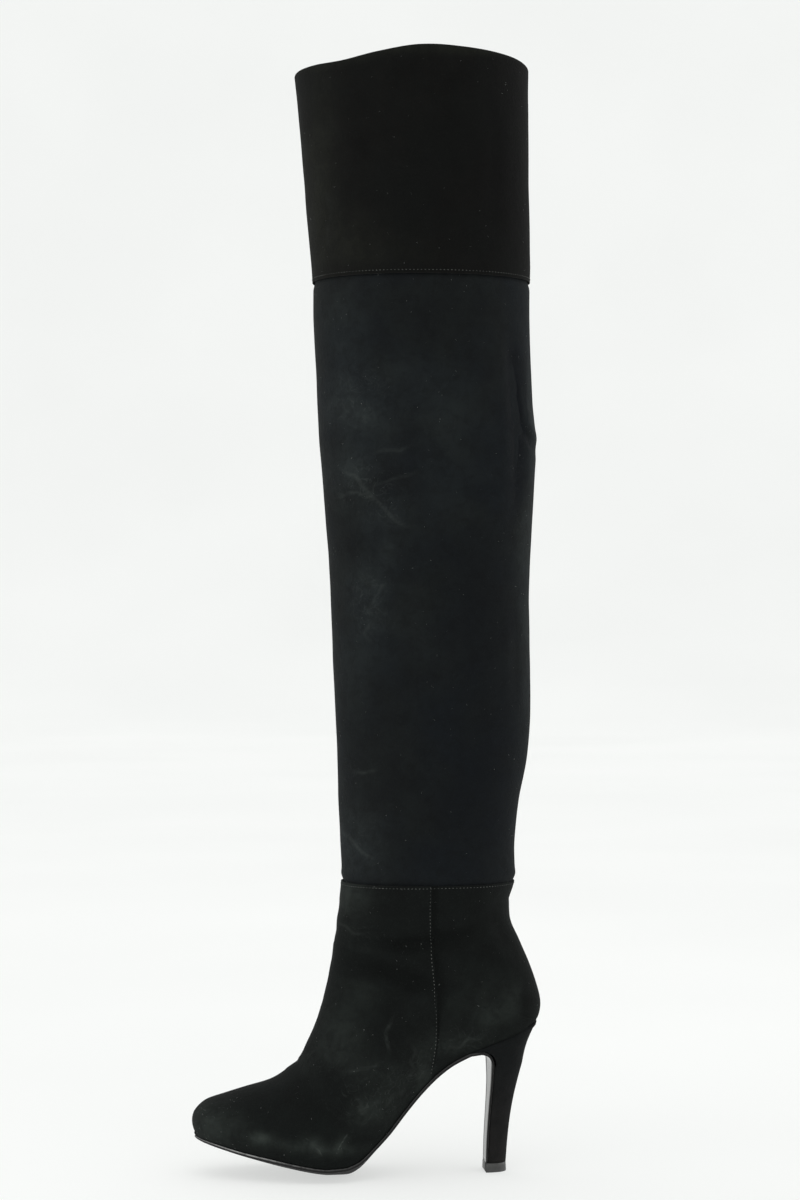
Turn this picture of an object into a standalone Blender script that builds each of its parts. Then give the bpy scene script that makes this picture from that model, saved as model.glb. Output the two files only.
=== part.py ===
"""A thigh high suede boot on a slender covered heel, for the left foot, standing empty on its sole.

The pieces are those that a shoemaker joins: outsole with its flap down the heel's breast, insole, heel, top
piece, upper of the foot, leg panel and cuff. Lengths are in metres. "Forward" runs from the back of the heel
to the toe, "side" points to the boot's outer side, and "up" is the height above the floor.
"""

import math
from collections import namedtuple

import bpy
from mathutils import Vector

# Foot and last
FOOT_LENGTH = 0.226
SEAT_WIDTH = 0.0524
WAIST_WIDTH = 0.0446
BALL_WIDTH = 0.0766
INSTEP_WIDTH = 0.066
SEAT_RISE = 0.0953
TOE_SPRING = 0.0215
EDGE_LIFT = 0.0046
TOE_LEAN = 0.0075

# Leg: depths run from front to back, widths from side to side
ANKLE_RISE = 0.091
LEG_LENGTH = 0.388
CUFF_LENGTH = 0.1345
COLLAR_WAVE = 0.0086
ANKLE_DEPTH = 0.1126
ANKLE_WIDTH = 0.0926
CALF_DEPTH = 0.1264
CALF_WIDTH = 0.1108
KNEE_DEPTH = 0.1400
KNEE_WIDTH = 0.1252
COLLAR_DEPTH = 0.1522
COLLAR_WIDTH = 0.146

# Leather thicknesses, seams and clearances
UPPER_WALL = 0.0018
LEG_WALL = 0.0014
SKIVED_EDGE = 0.0010
CUFF_EDGE = 0.0008
TURNED_EDGE = 0.0022
PANEL_STEP = 0.0006
SEAM_LAP = 0.0085
SEAM_EASE = 0.0054
GAP = 0.0003

# Sole, insole, heel and top piece
OUTSOLE_THICKNESS = 0.003
WAIST_THICKNESS = 0.0023
FLAP_THICKNESS = 0.0014
SOLE_LEDGE = 0.0007
INSOLE_THICKNESS = 0.0022
PLATFORM_THICKNESS = 0.0085
BREAST_FILLET = 0.0076
HEEL_WIDTH = 0.0192
HEEL_DEPTH = 0.0138
TOP_PIECE_HEIGHT = 0.006
TOP_PIECE_FLARE = 0.0003

# Landmarks worked out from the sizes above
SEAT_HEIGHT = OUTSOLE_THICKNESS + SEAT_RISE
ANKLE_SEAM = SEAT_HEIGHT + ANKLE_RISE
KNEE_SEAM = ANKLE_SEAM + LEG_LENGTH
COLLAR_HEIGHT = KNEE_SEAM + CUFF_LENGTH
FEATHER_BACK = 0.009 * FOOT_LENGTH
FEATHER_TOE = 0.987 * FOOT_LENGTH
TREAD_FRONT = 0.620 * FOOT_LENGTH
TOE_CURVE = 1.35
HEEL_ROUND = 0.106 * FOOT_LENGTH
TOE_ROUND = 0.265 * FOOT_LENGTH
TOE_POWER = 2.2
RING_POWER = 2.1
FAN_TOP = ANKLE_SEAM - SEAM_LAP - 0.003

# Height of the sole's upper face over the ball, as a share of SEAT_RISE
ArchRow = namedtuple("ArchRow", "station rise")
ARCH = (
    ArchRow(0.009, 1.000),
    ArchRow(0.089, 0.925),
    ArchRow(0.171, 0.849),
    ArchRow(0.257, 0.748),
    ArchRow(0.305, 0.660),
    ArchRow(0.350, 0.548),
    ArchRow(0.396, 0.412),
    ArchRow(0.442, 0.262),
    ArchRow(0.489, 0.130),
    ArchRow(0.522, 0.048),
    ArchRow(0.550, 0.008),
    ArchRow(0.572, 0.000),
    ArchRow(0.620, 0.000),
)

# Feather line from above: half width, and the middle's lean towards the outer side
OutlineRow = namedtuple("OutlineRow", "station half middle")
OUTLINE = (
    OutlineRow(0.009, 0.495 * SEAT_WIDTH, 0.0),
    OutlineRow(0.133, 0.504 * SEAT_WIDTH, 0.0),
    OutlineRow(0.177, 0.492 * SEAT_WIDTH, 0.02 * TOE_LEAN),
    OutlineRow(0.243, 0.538 * WAIST_WIDTH, 0.10 * TOE_LEAN),
    OutlineRow(0.310, 0.502 * WAIST_WIDTH, 0.18 * TOE_LEAN),
    OutlineRow(0.376, 0.500 * WAIST_WIDTH, 0.25 * TOE_LEAN),
    OutlineRow(0.442, 0.333 * BALL_WIDTH, 0.31 * TOE_LEAN),
    OutlineRow(0.509, 0.405 * BALL_WIDTH, 0.33 * TOE_LEAN),
    OutlineRow(0.575, 0.470 * BALL_WIDTH, 0.30 * TOE_LEAN),
    OutlineRow(0.642, 0.500 * BALL_WIDTH, 0.18 * TOE_LEAN),
    OutlineRow(0.708, 0.496 * BALL_WIDTH, -0.05 * TOE_LEAN),
    OutlineRow(0.774, 0.467 * BALL_WIDTH, -0.30 * TOE_LEAN),
    OutlineRow(0.841, 0.437 * BALL_WIDTH, -0.55 * TOE_LEAN),
    OutlineRow(0.907, 0.411 * BALL_WIDTH, -0.80 * TOE_LEAN),
    OutlineRow(0.987, 0.392 * BALL_WIDTH, -1.00 * TOE_LEAN),
)

# How much of EDGE_LIFT the sole's edges rise over its middle
CupRow = namedtuple("CupRow", "station lift")
CUPPING = (
    CupRow(0.000, 0.00),
    CupRow(0.200, 0.00),
    CupRow(0.380, 0.30),
    CupRow(0.500, 0.85),
    CupRow(0.600, 1.00),
    CupRow(0.780, 0.95),
    CupRow(0.920, 0.45),
    CupRow(1.000, 0.00),
)

# Hoops of the foot, from the toe to the ankle. "low" is the station where the hoop meets the feather line,
# or its back above the seat, and "climb" its share of the way from the seat to the ankle. "reach" and "rise"
# run from there to the hoop's top or front. "widest" is how far down from the top it is widest, and "turn"
# how far it turns under at the feather line, in degrees.
Hoop = namedtuple("Hoop", "number low climb reach rise half crest widest top_power low_power turn")
HOOPS = (
    Hoop(0, 0.9870, 0.000, 0.0000, 0.000, 0.000, -0.117, 0.600, 2.20, 2.0, 55),
    Hoop(1, 0.9820, 0.000, 0.0150, 0.060, 0.110 * BALL_WIDTH, -0.117, 0.600, 2.20, 2.0, 55),
    Hoop(2, 0.9665, 0.000, 0.0315, 0.125, 0.196 * BALL_WIDTH, -0.115, 0.620, 2.20, 2.0, 55),
    Hoop(3, 0.9400, 0.000, 0.0485, 0.191, 0.277 * BALL_WIDTH, -0.112, 0.660, 2.20, 2.0, 55),
    Hoop(4, 0.9020, 0.000, 0.0587, 0.270, 0.352 * BALL_WIDTH, -0.107, 0.700, 2.15, 2.0, 55),
    Hoop(5, 0.8450, 0.000, 0.0664, 0.341, 0.428 * BALL_WIDTH, -0.098, 0.740, 2.10, 2.0, 55),
    Hoop(6, 0.7700, 0.000, 0.0730, 0.430, 0.493 * BALL_WIDTH, -0.085, 0.765, 2.05, 2.0, 55),
    Hoop(7, 0.6858, 0.000, 0.0907, 0.520, 0.526 * BALL_WIDTH, -0.068, 0.780, 2.00, 2.0, 55),
    Hoop(8, 0.6018, 0.000, 0.1150, 0.629, 0.516 * BALL_WIDTH, -0.052, 0.775, 1.95, 2.0, 55),
    Hoop(9, 0.5221, 0.000, 0.1475, 0.694, 0.478 * BALL_WIDTH, -0.039, 0.740, 1.95, 2.0, 55),
    Hoop(10, 0.4469, 0.000, 0.1962, 0.641, 0.541 * INSTEP_WIDTH, -0.029, 0.700, 1.98, 2.0, 55),
    Hoop(11, 0.3761, 0.000, 0.2520, 0.547, 0.510 * INSTEP_WIDTH, -0.021, 0.660, 2.02, 2.0, 55),
    Hoop(12, 0.3053, 0.000, 0.3148, 0.453, 0.496 * INSTEP_WIDTH, -0.014, 0.630, 2.08, 2.0, 56),
    Hoop(13, 0.2345, 0.000, 0.3790, 0.434, 0.491 * INSTEP_WIDTH, -0.009, 0.600, 2.15, 2.05, 57),
    Hoop(14, 0.1681, 0.000, 0.4372, 0.448, 0.495 * INSTEP_WIDTH, -0.005, 0.580, 2.20, 2.1, 60),
    Hoop(15, 0.1062, 0.000, 0.4940, 0.464, 0.502 * INSTEP_WIDTH, -0.002, 0.565, 2.25, 2.15, 66),
    Hoop(16, 0.0575, 0.000, 0.5382, 0.482, 0.507 * INSTEP_WIDTH, 0.000, 0.555, 2.28, 2.2, 73),
    Hoop(17, 0.0243, 0.000, 0.5680, 0.504, 0.511 * INSTEP_WIDTH, 0.000, 0.550, 2.30, 2.25, 81),
    Hoop(18, 0.0090, 0.000, 0.5808, 0.531, 0.515 * INSTEP_WIDTH, 0.000, 0.545, 2.30, 2.3, 90),
    Hoop(19, -0.0013, 0.074, 0.5879, 0.511, 0.519 * INSTEP_WIDTH, 0.000, 0.540, 2.30, 2.3, 90),
    Hoop(20, -0.0024, 0.169, 0.5859, 0.474, 0.524 * INSTEP_WIDTH, 0.000, 0.535, 2.30, 2.3, 90),
    Hoop(21, 0.0097, 0.307, 0.5724, 0.405, 0.362 * ANKLE_WIDTH, 0.000, 0.530, 2.28, 2.28, 90),
    Hoop(22, 0.0306, 0.471, 0.5493, 0.316, 0.380 * ANKLE_WIDTH, 0.000, 0.520, 2.25, 2.25, 90),
    Hoop(23, 0.0600, 0.660, 0.5166, 0.205, 0.407 * ANKLE_WIDTH, 0.000, 0.510, 2.20, 2.2, 90),
    Hoop(24, 0.0846, 0.824, 0.4900, 0.111, 0.437 * ANKLE_WIDTH, 0.000, 0.505, 2.15, 2.15, 90),
)
INSTEP_RISE = 0.095
CLOSING_HOOP = 18
LAST_VAMP_HOOP = 11.7
HOOP_STEPS = (0, 0.5, 1, 1.5, 2, 3, 4, 5, 6, 6.8, 7.6, 8.4, 8.8, 9.2, 10, 10.7, 11.3, 11.8, 12.4, 13, 14, 15, 16,
              17, 18, 19, 20, 21, 22, 23, 24)

# The leg from the ankle to the collar: height as a share of the way from the ankle seam to the collar, the
# front's and back's distance from the heel's back, and the width
LegRow = namedtuple("LegRow", "height front back width")
LEG_BACK = 0.0282 * FOOT_LENGTH
LEG = (
    LegRow(-0.022, LEG_BACK + 1.096 * ANKLE_DEPTH, 0.0885 * FOOT_LENGTH, 0.940 * ANKLE_WIDTH),
    LegRow(0.001, LEG_BACK + 1.087 * ANKLE_DEPTH, 0.0728 * FOOT_LENGTH, 1.000 * ANKLE_WIDTH),
    LegRow(0.050, LEG_BACK + 1.094 * ANKLE_DEPTH, 0.0730 * FOOT_LENGTH, 1.050 * ANKLE_WIDTH),
    LegRow(0.100, LEG_BACK + 0.984 * CALF_DEPTH, 0.0602 * FOOT_LENGTH, 0.920 * CALF_WIDTH),
    LegRow(0.150, LEG_BACK + 0.991 * CALF_DEPTH, 0.0372 * FOOT_LENGTH, 0.964 * CALF_WIDTH),
    LegRow(0.199, LEG_BACK + 1.000 * CALF_DEPTH, 0.0283 * FOOT_LENGTH, 1.000 * CALF_WIDTH),
    LegRow(0.298, LEG_BACK + 1.016 * CALF_DEPTH, 0.0300 * FOOT_LENGTH, 1.040 * CALF_WIDTH),
    LegRow(0.397, LEG_BACK + 0.936 * KNEE_DEPTH, 0.0283 * FOOT_LENGTH, 0.950 * KNEE_WIDTH),
    LegRow(0.496, LEG_BACK + 0.963 * KNEE_DEPTH, 0.0168 * FOOT_LENGTH, 0.984 * KNEE_WIDTH),
    LegRow(0.546, LEG_BACK + 0.977 * KNEE_DEPTH, 0.0119 * FOOT_LENGTH, 1.000 * KNEE_WIDTH),
    LegRow(0.596, LEG_BACK + 0.988 * KNEE_DEPTH, 0.0212 * FOOT_LENGTH, 1.014 * KNEE_WIDTH),
    LegRow(0.695, LEG_BACK + 1.006 * KNEE_DEPTH, 0.0300 * FOOT_LENGTH, 1.043 * KNEE_WIDTH),
    LegRow(0.742, LEG_BACK + 1.008 * KNEE_DEPTH, 0.0305 * FOOT_LENGTH, 1.057 * KNEE_WIDTH),
    LegRow(0.846, LEG_BACK + 0.956 * COLLAR_DEPTH, 0.0332 * FOOT_LENGTH, 0.940 * COLLAR_WIDTH),
    LegRow(0.945, LEG_BACK + 0.985 * COLLAR_DEPTH, 0.0358 * FOOT_LENGTH, 0.975 * COLLAR_WIDTH),
    LegRow(1.020, LEG_BACK + 1.012 * COLLAR_DEPTH, 0.0350 * FOOT_LENGTH, 1.000 * COLLAR_WIDTH),
)
LEG_STEPS = (0.014, 0.06, 0.11, 0.16, 0.22, 0.30, 0.39, 0.48, 0.55, 0.60, 0.66, 0.76, 0.88)
CUFF_STEPS = (0.14, 0.28, 0.45, 0.62, 0.80)

# The collar's wave, by the angle round from the front, as a share of COLLAR_WAVE
WaveRow = namedtuple("WaveRow", "angle wave")
COLLAR = (
    WaveRow(0, 0.00),
    WaveRow(30, 0.00),
    WaveRow(50, 0.03),
    WaveRow(70, 0.52),
    WaveRow(90, 1.00),
    WaveRow(110, 0.95),
    WaveRow(140, 0.71),
    WaveRow(160, 0.50),
    WaveRow(180, 0.30),
)

# The side seam between vamp and quarter, from the feather line up to the ankle seam
SeamRow = namedtuple("SeamRow", "height forward")
SIDE_SEAM = (
    SeamRow(0.300, 0.3285),
    SeamRow(0.370, 0.3212),
    SeamRow(0.475, 0.3118),
    SeamRow(0.610, 0.3124),
    SeamRow(0.750, 0.3220),
    SeamRow(0.887, 0.3300),
    SeamRow(1.000, 0.3320),
)

# The heel between the top piece and the breast's fillet: the height as a share, the breast's and the back's
# distance from the heel's back, the width, and how square the back is
HeelRow = namedtuple("HeelRow", "height breast back width power")
HEEL_BACK = 0.0969 * FOOT_LENGTH
HEEL = (
    HeelRow(0.00, HEEL_BACK + 1.000 * HEEL_DEPTH, HEEL_BACK, 1.00 * HEEL_WIDTH, 2.2),
    HeelRow(0.22, HEEL_BACK + 0.970 * HEEL_DEPTH, 0.0920 * FOOT_LENGTH, 1.02 * HEEL_WIDTH, 2.2),
    HeelRow(0.44, HEEL_BACK + 0.910 * HEEL_DEPTH, 0.0850 * FOOT_LENGTH, 1.08 * HEEL_WIDTH, 2.2),
    HeelRow(0.64, HEEL_BACK + 0.845 * HEEL_DEPTH, 0.0752 * FOOT_LENGTH, 1.22 * HEEL_WIDTH, 2.25),
    HeelRow(0.82, HEEL_BACK + 0.795 * HEEL_DEPTH, 0.0633 * FOOT_LENGTH, 1.48 * HEEL_WIDTH, 2.3),
    HeelRow(1.00, HEEL_BACK + 0.790 * HEEL_DEPTH, 0.0500 * FOOT_LENGTH, 1.92 * HEEL_WIDTH, 2.4),
)
FLAP_MARGIN = 0.0009
WEDGE_TIP = 0.2010 * FOOT_LENGTH
WAIST_END = 0.2130 * FOOT_LENGTH

# Mesh fineness
FRONT_CELLS = 12
REAR_CELLS = 9
HEEL_CELLS = 9
SOLE_CELLS = 18
SEAT_CELLS = 8
TOE_RUN = 0.30 * FOOT_LENGTH
SOLE_SPREAD = (-1.0, -0.82, -0.56, 0.0, 0.56, 0.82, 1.0)
FLAT_SHARE = 0.56


def place(forward, side, up):
    """A point of the boot in the part's frame: the toe points to -Y and the outer side to +X."""
    return Vector((side, FOOT_LENGTH / 2 - forward, up))


def row_at(table, at):
    """The table's row at a position in its first column, on a smooth curve through the rows."""
    at = min(max(at, table[0][0]), table[-1][0])
    upper = next(i for i in range(1, len(table)) if table[i][0] >= at)
    lower = upper - 1
    width = table[upper][0] - table[lower][0]
    t = (at - table[lower][0]) / width

    def slope(i, column):
        before, after = table[max(i - 1, 0)], table[min(i + 1, len(table) - 1)]
        return (after[column] - before[column]) / (after[0] - before[0])

    values = [at]
    for column in range(1, len(table[0])):
        values.append(
            (2 * t**3 - 3 * t**2 + 1) * table[lower][column]
            + (t**3 - 2 * t**2 + t) * width * slope(lower, column)
            + (3 * t**2 - 2 * t**3) * table[upper][column]
            + (t**3 - t**2) * width * slope(upper, column)
        )
    return type(table[0])(*values)


def bed_height(forward):
    """Height of the sole's upper face along its middle."""
    if forward > TREAD_FRONT:
        share = (forward - TREAD_FRONT) / (FEATHER_TOE - TREAD_FRONT)
        return OUTSOLE_THICKNESS + TOE_SPRING * share**TOE_CURVE
    return OUTSOLE_THICKNESS + SEAT_RISE * max(0.0, row_at(ARCH, forward / FOOT_LENGTH).rise)


def bed_normal(forward):
    """Forward and upward parts of the sole's upward normal."""
    step = 0.0005
    climb = (bed_height(forward + step) - bed_height(forward - step)) / (2 * step)
    length = math.hypot(1, climb)
    return -climb / length, 1 / length


def edge_lift(forward, spread):
    """How far the sole is raised at a share of its half width."""
    share = max(0.0, abs(spread) - FLAT_SHARE) / (1 - FLAT_SHARE)
    return EDGE_LIFT * row_at(CUPPING, forward / FOOT_LENGTH).lift * share**1.5


def outline(forward, inset=0.0):
    """Half width and middle of the feather line at a station, drawn in by inset."""
    row = row_at(OUTLINE, forward / FOOT_LENGTH)
    from_back = forward - FEATHER_BACK - inset
    from_toe = FEATHER_TOE - inset - forward
    half = row.half - inset
    if from_back < HEEL_ROUND:
        half *= math.sqrt(max(0.0, 1 - (1 - from_back / HEEL_ROUND) ** 2))
    if from_toe < TOE_ROUND:
        share = min(1.0, 1 - from_toe / TOE_ROUND)
        half *= max(0.0, 1 - share**TOE_POWER) ** (1 / TOE_POWER)
    return max(half, 0.0), row.middle


def seam_forward(height):
    """Where the side seam runs at a height."""
    return FOOT_LENGTH * row_at(SIDE_SEAM, height / ANKLE_SEAM).forward


def leg_ring(height, angles, grow=0.0):
    """Points of the leg's outer form at a height, at angles round from the front towards the outer side."""
    row = row_at(LEG, (height - ANKLE_SEAM) / (COLLAR_HEIGHT - ANKLE_SEAM))
    middle = (row.front + row.back) / 2
    depth, width = (row.front - row.back) / 2 + grow, row.width / 2 + grow
    points = []
    for angle in angles:
        c, s = math.cos(math.radians(angle)), math.sin(math.radians(angle))
        forward = middle + depth * math.copysign(abs(c) ** (2 / RING_POWER), c)
        points.append(place(forward, width * math.copysign(abs(s) ** (2 / RING_POWER), s), height))
    return points


def last_hoop():
    """The fan's last hoop, which is the leg's own ring."""
    row = row_at(LEG, (FAN_TOP - ANKLE_SEAM) / (COLLAR_HEIGHT - ANKLE_SEAM))
    reach = (row.front - row.back) / FOOT_LENGTH
    return Hoop(25, row.back / FOOT_LENGTH, 1.0, reach, 0.0, row.width / 2, 0.0, 0.5, RING_POWER, RING_POWER, 90)


ALL_HOOPS = HOOPS + (last_hoop(),)


def hoop_point(number, angle):
    """A point of the foot's outer form, on hoop number, at an angle round from the top to the outer side."""
    hoop = row_at(ALL_HOOPS, number)
    low = hoop.low * FOOT_LENGTH
    if number < CLOSING_HOOP:
        feather, middle = outline(low)
        ahead = min(max(LAST_VAMP_HOOP + 1 - number, 0.0), 1.0)
        lift = edge_lift(low, 1) + 1.2 * GAP + PANEL_STEP * ahead
        normal = bed_normal(low)
        low, up = low + normal[0] * lift, bed_height(low) + normal[1] * lift
    else:
        feather, middle = 0.0, 0.0
        start = bed_height(FEATHER_BACK) + GAP
        up = start + max(0.0, hoop.climb) * (FAN_TOP - start)
    round_angle = math.radians(abs(angle))
    crest = hoop.crest * BALL_WIDTH
    if abs(angle) <= 90:
        out = hoop.half * max(0.0, math.sin(round_angle)) ** (2 / hoop.top_power)
        along = hoop.widest * (1 - max(0.0, math.cos(round_angle)) ** (2 / hoop.top_power))
        middle += (crest - middle) * math.cos(round_angle) ** 2
    else:
        turn = math.radians(min(hoop.turn, 90.0))
        angle_under = (round_angle - math.pi / 2) / (math.pi / 2) * turn
        power = 2 / hoop.low_power
        end = max(0.0, math.cos(turn)) ** power if turn < math.pi / 2 - 1e-6 else 0.0
        share = (max(0.0, math.cos(angle_under)) ** power - end) / (1 - end)
        out = feather + (hoop.half - feather) * max(0.0, share)
        along = hoop.widest + (1 - hoop.widest) * (math.sin(angle_under) / math.sin(turn)) ** power
    forward = low + hoop.reach * FOOT_LENGTH * (1 - along)
    height = up + hoop.rise * INSTEP_RISE * (1 - along)
    return forward, middle + math.copysign(out, angle), height


def seam_angle(point_at):
    """The angle at which a hoop crosses the side seam, or 180 where it lies wholly in front of it."""

    def ahead(angle):
        forward, _, height = point_at(angle)
        return forward - seam_forward(height)

    if ahead(180.0) >= 0:
        return 180.0
    front, back = 30.0, 180.0
    for _ in range(40):
        middle = (front + back) / 2
        front, back = (middle, back) if ahead(middle) > 0 else (front, middle)
    return (front + back) / 2


def half_angles(seam):
    """Angles from the front round to the back, with one at the side seam."""
    fore = [seam * i / FRONT_CELLS for i in range(FRONT_CELLS)]
    aft = [seam + (180.0 - seam) * i / REAR_CELLS for i in range(REAR_CELLS + 1)]
    return fore + aft


def mirrored(point_at):
    """A whole hoop, from the back round the inner side, over the front and round the outer side."""
    inner = [-angle for angle in reversed(half_angles(seam_angle(lambda a: point_at(-a))))]
    outer = half_angles(seam_angle(point_at))
    return [place(*point_at(angle)) for angle in inner + outer[1:]]


def ring_point(height):
    """The leg's form at a height as a hoop_point-like function."""

    def at(angle):
        point = leg_ring(height, [angle])[0]
        return FOOT_LENGTH / 2 - point.y, point.x, height

    return at


def new_object(name, points, faces, material, parent):
    """One mesh object, with doubled points joined and collapsed faces dropped."""
    numbers, kept, index = {}, [], []
    for point in points:
        key = tuple(round(value, 7) for value in point)
        if key not in numbers:
            numbers[key] = len(kept)
            kept.append(point)
        index.append(numbers[key])
    joined = []
    for face in faces:
        corners = [index[i] for i in face]
        corners = [corner for i, corner in enumerate(corners) if corner != corners[i - 1]]
        if len(set(corners)) > 2:
            joined.append(corners)
    mesh = bpy.data.meshes.new(name)
    mesh.from_pydata(kept, [], joined)
    mesh.validate()
    mesh.shade_smooth()
    mesh.set_sharp_from_angle(angle=math.radians(40))
    mesh.materials.append(material)
    built = bpy.data.objects.new(name, mesh)
    built.parent = parent
    bpy.context.scene.collection.objects.link(built)
    return built


def shell(name, rows, wall_of, step_of, material, parent):
    """A sheet of rows of points made a wall.

    wall_of(row) is the wall's thickness there and step_of(row, column) is how far a cell's outer face stands
    out, so that one panel can lap over the next with a sharp edge.
    """
    numbers, points, walls = {}, [], []

    def number(point, row):
        key = tuple(round(value, 7) for value in point)
        if key not in numbers:
            numbers[key] = len(points)
            points.append(point)
            walls.append(wall_of(row))
        return numbers[key]

    grid = [[number(point, r) for point in row] for r, row in enumerate(rows)]
    cells = []
    for r in range(len(grid) - 1):
        for c in range(len(grid[0]) - 1):
            corners = [grid[r][c], grid[r][c + 1], grid[r + 1][c + 1], grid[r + 1][c]]
            corners = [corner for i, corner in enumerate(corners) if corner != corners[i - 1]]
            if len(set(corners)) > 2:
                cells.append((corners, step_of(r, c)))
    normals = [Vector((0, 0, 0)) for _ in points]
    for corners, _ in cells:
        across = points[corners[2]] - points[corners[0]]
        normal = across.cross(points[corners[-1]] - points[corners[1]])
        for corner in corners:
            normals[corner] += normal
    for normal in normals:
        normal.normalize()
    steps = [set() for _ in points]
    for corners, step in cells:
        for corner in corners:
            steps[corner].add(step)

    made, built, faces = {}, [], []

    def at(corner, offset):
        if (corner, offset) not in made:
            made[corner, offset] = len(built)
            built.append(points[corner] + normals[corner] * offset)
        return made[corner, offset]

    edges = {}
    for corners, step in cells:
        faces.append([at(corner, step) for corner in corners])
        faces.append([at(corner, -walls[corner]) for corner in reversed(corners)])
        for i, corner in enumerate(corners):
            edges[corners[i - 1], corner] = step
    for (a, b), step in edges.items():
        across = edges.get((b, a))
        if across is None:
            rim = [at(b, step), at(a, step)]
            rim += [at(a, other) for other in sorted(steps[a], reverse=True) if other < step]
            rim += [at(a, -walls[a]), at(b, -walls[b])]
            rim += [at(b, other) for other in sorted(steps[b]) if other < step]
            faces.append(rim)
        elif across < step:
            faces.append([at(b, step), at(a, step), at(a, across), at(b, across)])
    return new_object(name, built, faces, material, parent)


def loft(name, loops, material, parent):
    """A solid through closed loops of as many points each, capped at both ends."""
    size = len(loops[0])
    points = [point for loop in loops for point in loop]
    faces = []
    for r in range(len(loops) - 1):
        for c in range(size):
            after = (c + 1) % size
            faces.append([r * size + c, r * size + after, (r + 1) * size + after, (r + 1) * size + c])
    faces.append(list(reversed(range(size))))
    faces.append([(len(loops) - 1) * size + c for c in range(size)])
    return new_object(name, points, faces, material, parent)


def leather(name, colour, roughness):
    """A material with the piece's colour and roughness."""
    made = bpy.data.materials.new(name)
    made.use_nodes = True
    shader = made.node_tree.nodes["Principled BSDF"]
    shader.inputs["Base Color"].default_value = (*colour, 1.0)
    shader.inputs["Roughness"].default_value = roughness
    shader.inputs["Metallic"].default_value = 0.0
    return made


def build_upper(material, parent):
    """The foot's upper: vamp and quarters, with the vamp lapping over the quarters at the side seams."""
    rows = [mirrored(lambda angle, n=number: hoop_point(n, angle)) for number in HOOP_STEPS]
    fan_rows = len(rows)
    rows += [mirrored(ring_point(height)) for height in (FAN_TOP, ANKLE_SEAM - SEAM_LAP, ANKLE_SEAM)]

    def wall_of(row):
        return UPPER_WALL if row < fan_rows else SKIVED_EDGE

    def step_of(_, column):
        return PANEL_STEP if REAR_CELLS <= column < REAR_CELLS + 2 * FRONT_CELLS else 0.0

    return shell("upper", rows, wall_of, step_of, material, parent)


def ring_angles():
    """Angles round the leg, from the back over the inner side and the front, as at the upper's own edge."""
    half = half_angles(seam_angle(ring_point(ANKLE_SEAM)))
    return [-angle for angle in reversed(half)] + half[1:]


def leg_draw(height):
    """How far the leg panel is drawn in by the seams at its ends."""
    ankle = (SKIVED_EDGE + GAP) * max(0.0, 1 - max(0.0, height - ANKLE_SEAM) / SEAM_EASE)
    knee = (CUFF_EDGE + GAP - SKIVED_EDGE / 3) * max(0.0, 1 - max(0.0, KNEE_SEAM - height) / SEAM_EASE)
    return -max(ankle, knee)


def build_leg(material, parent):
    """The leg panel, whose ends are tucked into the foot's upper and into the cuff."""
    heights = [ANKLE_SEAM - SEAM_LAP, ANKLE_SEAM]
    heights += [ANKLE_SEAM + share * LEG_LENGTH for share in LEG_STEPS]
    heights += [KNEE_SEAM, KNEE_SEAM + SEAM_LAP]
    rows = [leg_ring(height, ring_angles(), leg_draw(height)) for height in heights]
    return shell("leg_panel", rows, lambda row: LEG_WALL, lambda row, column: 0.0, material, parent)


def build_cuff(material, parent):
    """The thigh cuff, lapping over the leg panel, with a waved collar."""
    angles = ring_angles()
    grow = SKIVED_EDGE / 3
    heights = [KNEE_SEAM, KNEE_SEAM + SEAM_LAP + 0.003]
    heights += [KNEE_SEAM + share * CUFF_LENGTH for share in CUFF_STEPS]
    rows = [leg_ring(height, angles, grow) for height in heights]
    for drop in (0.010, 0.0):
        collar = []
        for angle in angles:
            height = COLLAR_HEIGHT - drop + COLLAR_WAVE * row_at(COLLAR, abs(angle)).wave
            collar.append(leg_ring(height, [angle], grow)[0])
        rows.append(collar)
    walls = [CUFF_EDGE] * 2 + [LEG_WALL] * len(CUFF_STEPS) + [TURNED_EDGE] * 2
    return shell("cuff", rows, lambda row: walls[row], lambda row, column: 0.0, material, parent)


def sole_stations(back, front):
    """Stations from the toe backwards, closer together where the toe is round, shared by sole and insole."""
    tip = FEATHER_TOE + SOLE_LEDGE
    shared = [tip - TOE_RUN * (1 - math.cos(math.radians(turn))) for turn in range(0, 91, 10)]
    step = (shared[-1] - WAIST_END) / SOLE_CELLS
    shared += [shared[-1] - step * i for i in range(1, SOLE_CELLS + SEAT_CELLS)]
    return [front] + [at for at in shared if back + step / 4 < at < front - step / 4] + [back]


def sole_thickness(forward):
    """The outsole thins from the ball to the waist."""
    share = min(max((forward / FOOT_LENGTH - 0.42) / 0.12, 0.0), 1.0)
    return WAIST_THICKNESS + (OUTSOLE_THICKNESS - WAIST_THICKNESS) * share


def sheet_loop(under, normal, thickness, half, middle, lifts, bead):
    """One section of the outsole: its under face, its edge with a bead, and its upper face."""
    loop = []
    for spread, lift in zip(SOLE_SPREAD, lifts):
        loop.append(place(under[0] + normal[0] * lift, middle + spread * half, under[1] + normal[1] * lift))
    edge = lifts[-1] + thickness * 0.55
    loop.append(place(under[0] + normal[0] * edge, middle + half + bead, under[1] + normal[1] * edge))
    for spread, lift in reversed(list(zip(SOLE_SPREAD, lifts))):
        top = lift + thickness
        loop.append(place(under[0] + normal[0] * top, middle + spread * half, under[1] + normal[1] * top))
    loop.append(place(under[0] + normal[0] * edge, middle - half - bead, under[1] + normal[1] * edge))
    return loop


def heel_row(height):
    """The heel's section at a height below the breast's fillet."""
    share = (height - TOP_PIECE_HEIGHT) / (fillet_centre()[1] - TOP_PIECE_HEIGHT)
    return row_at(HEEL, share)


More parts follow.
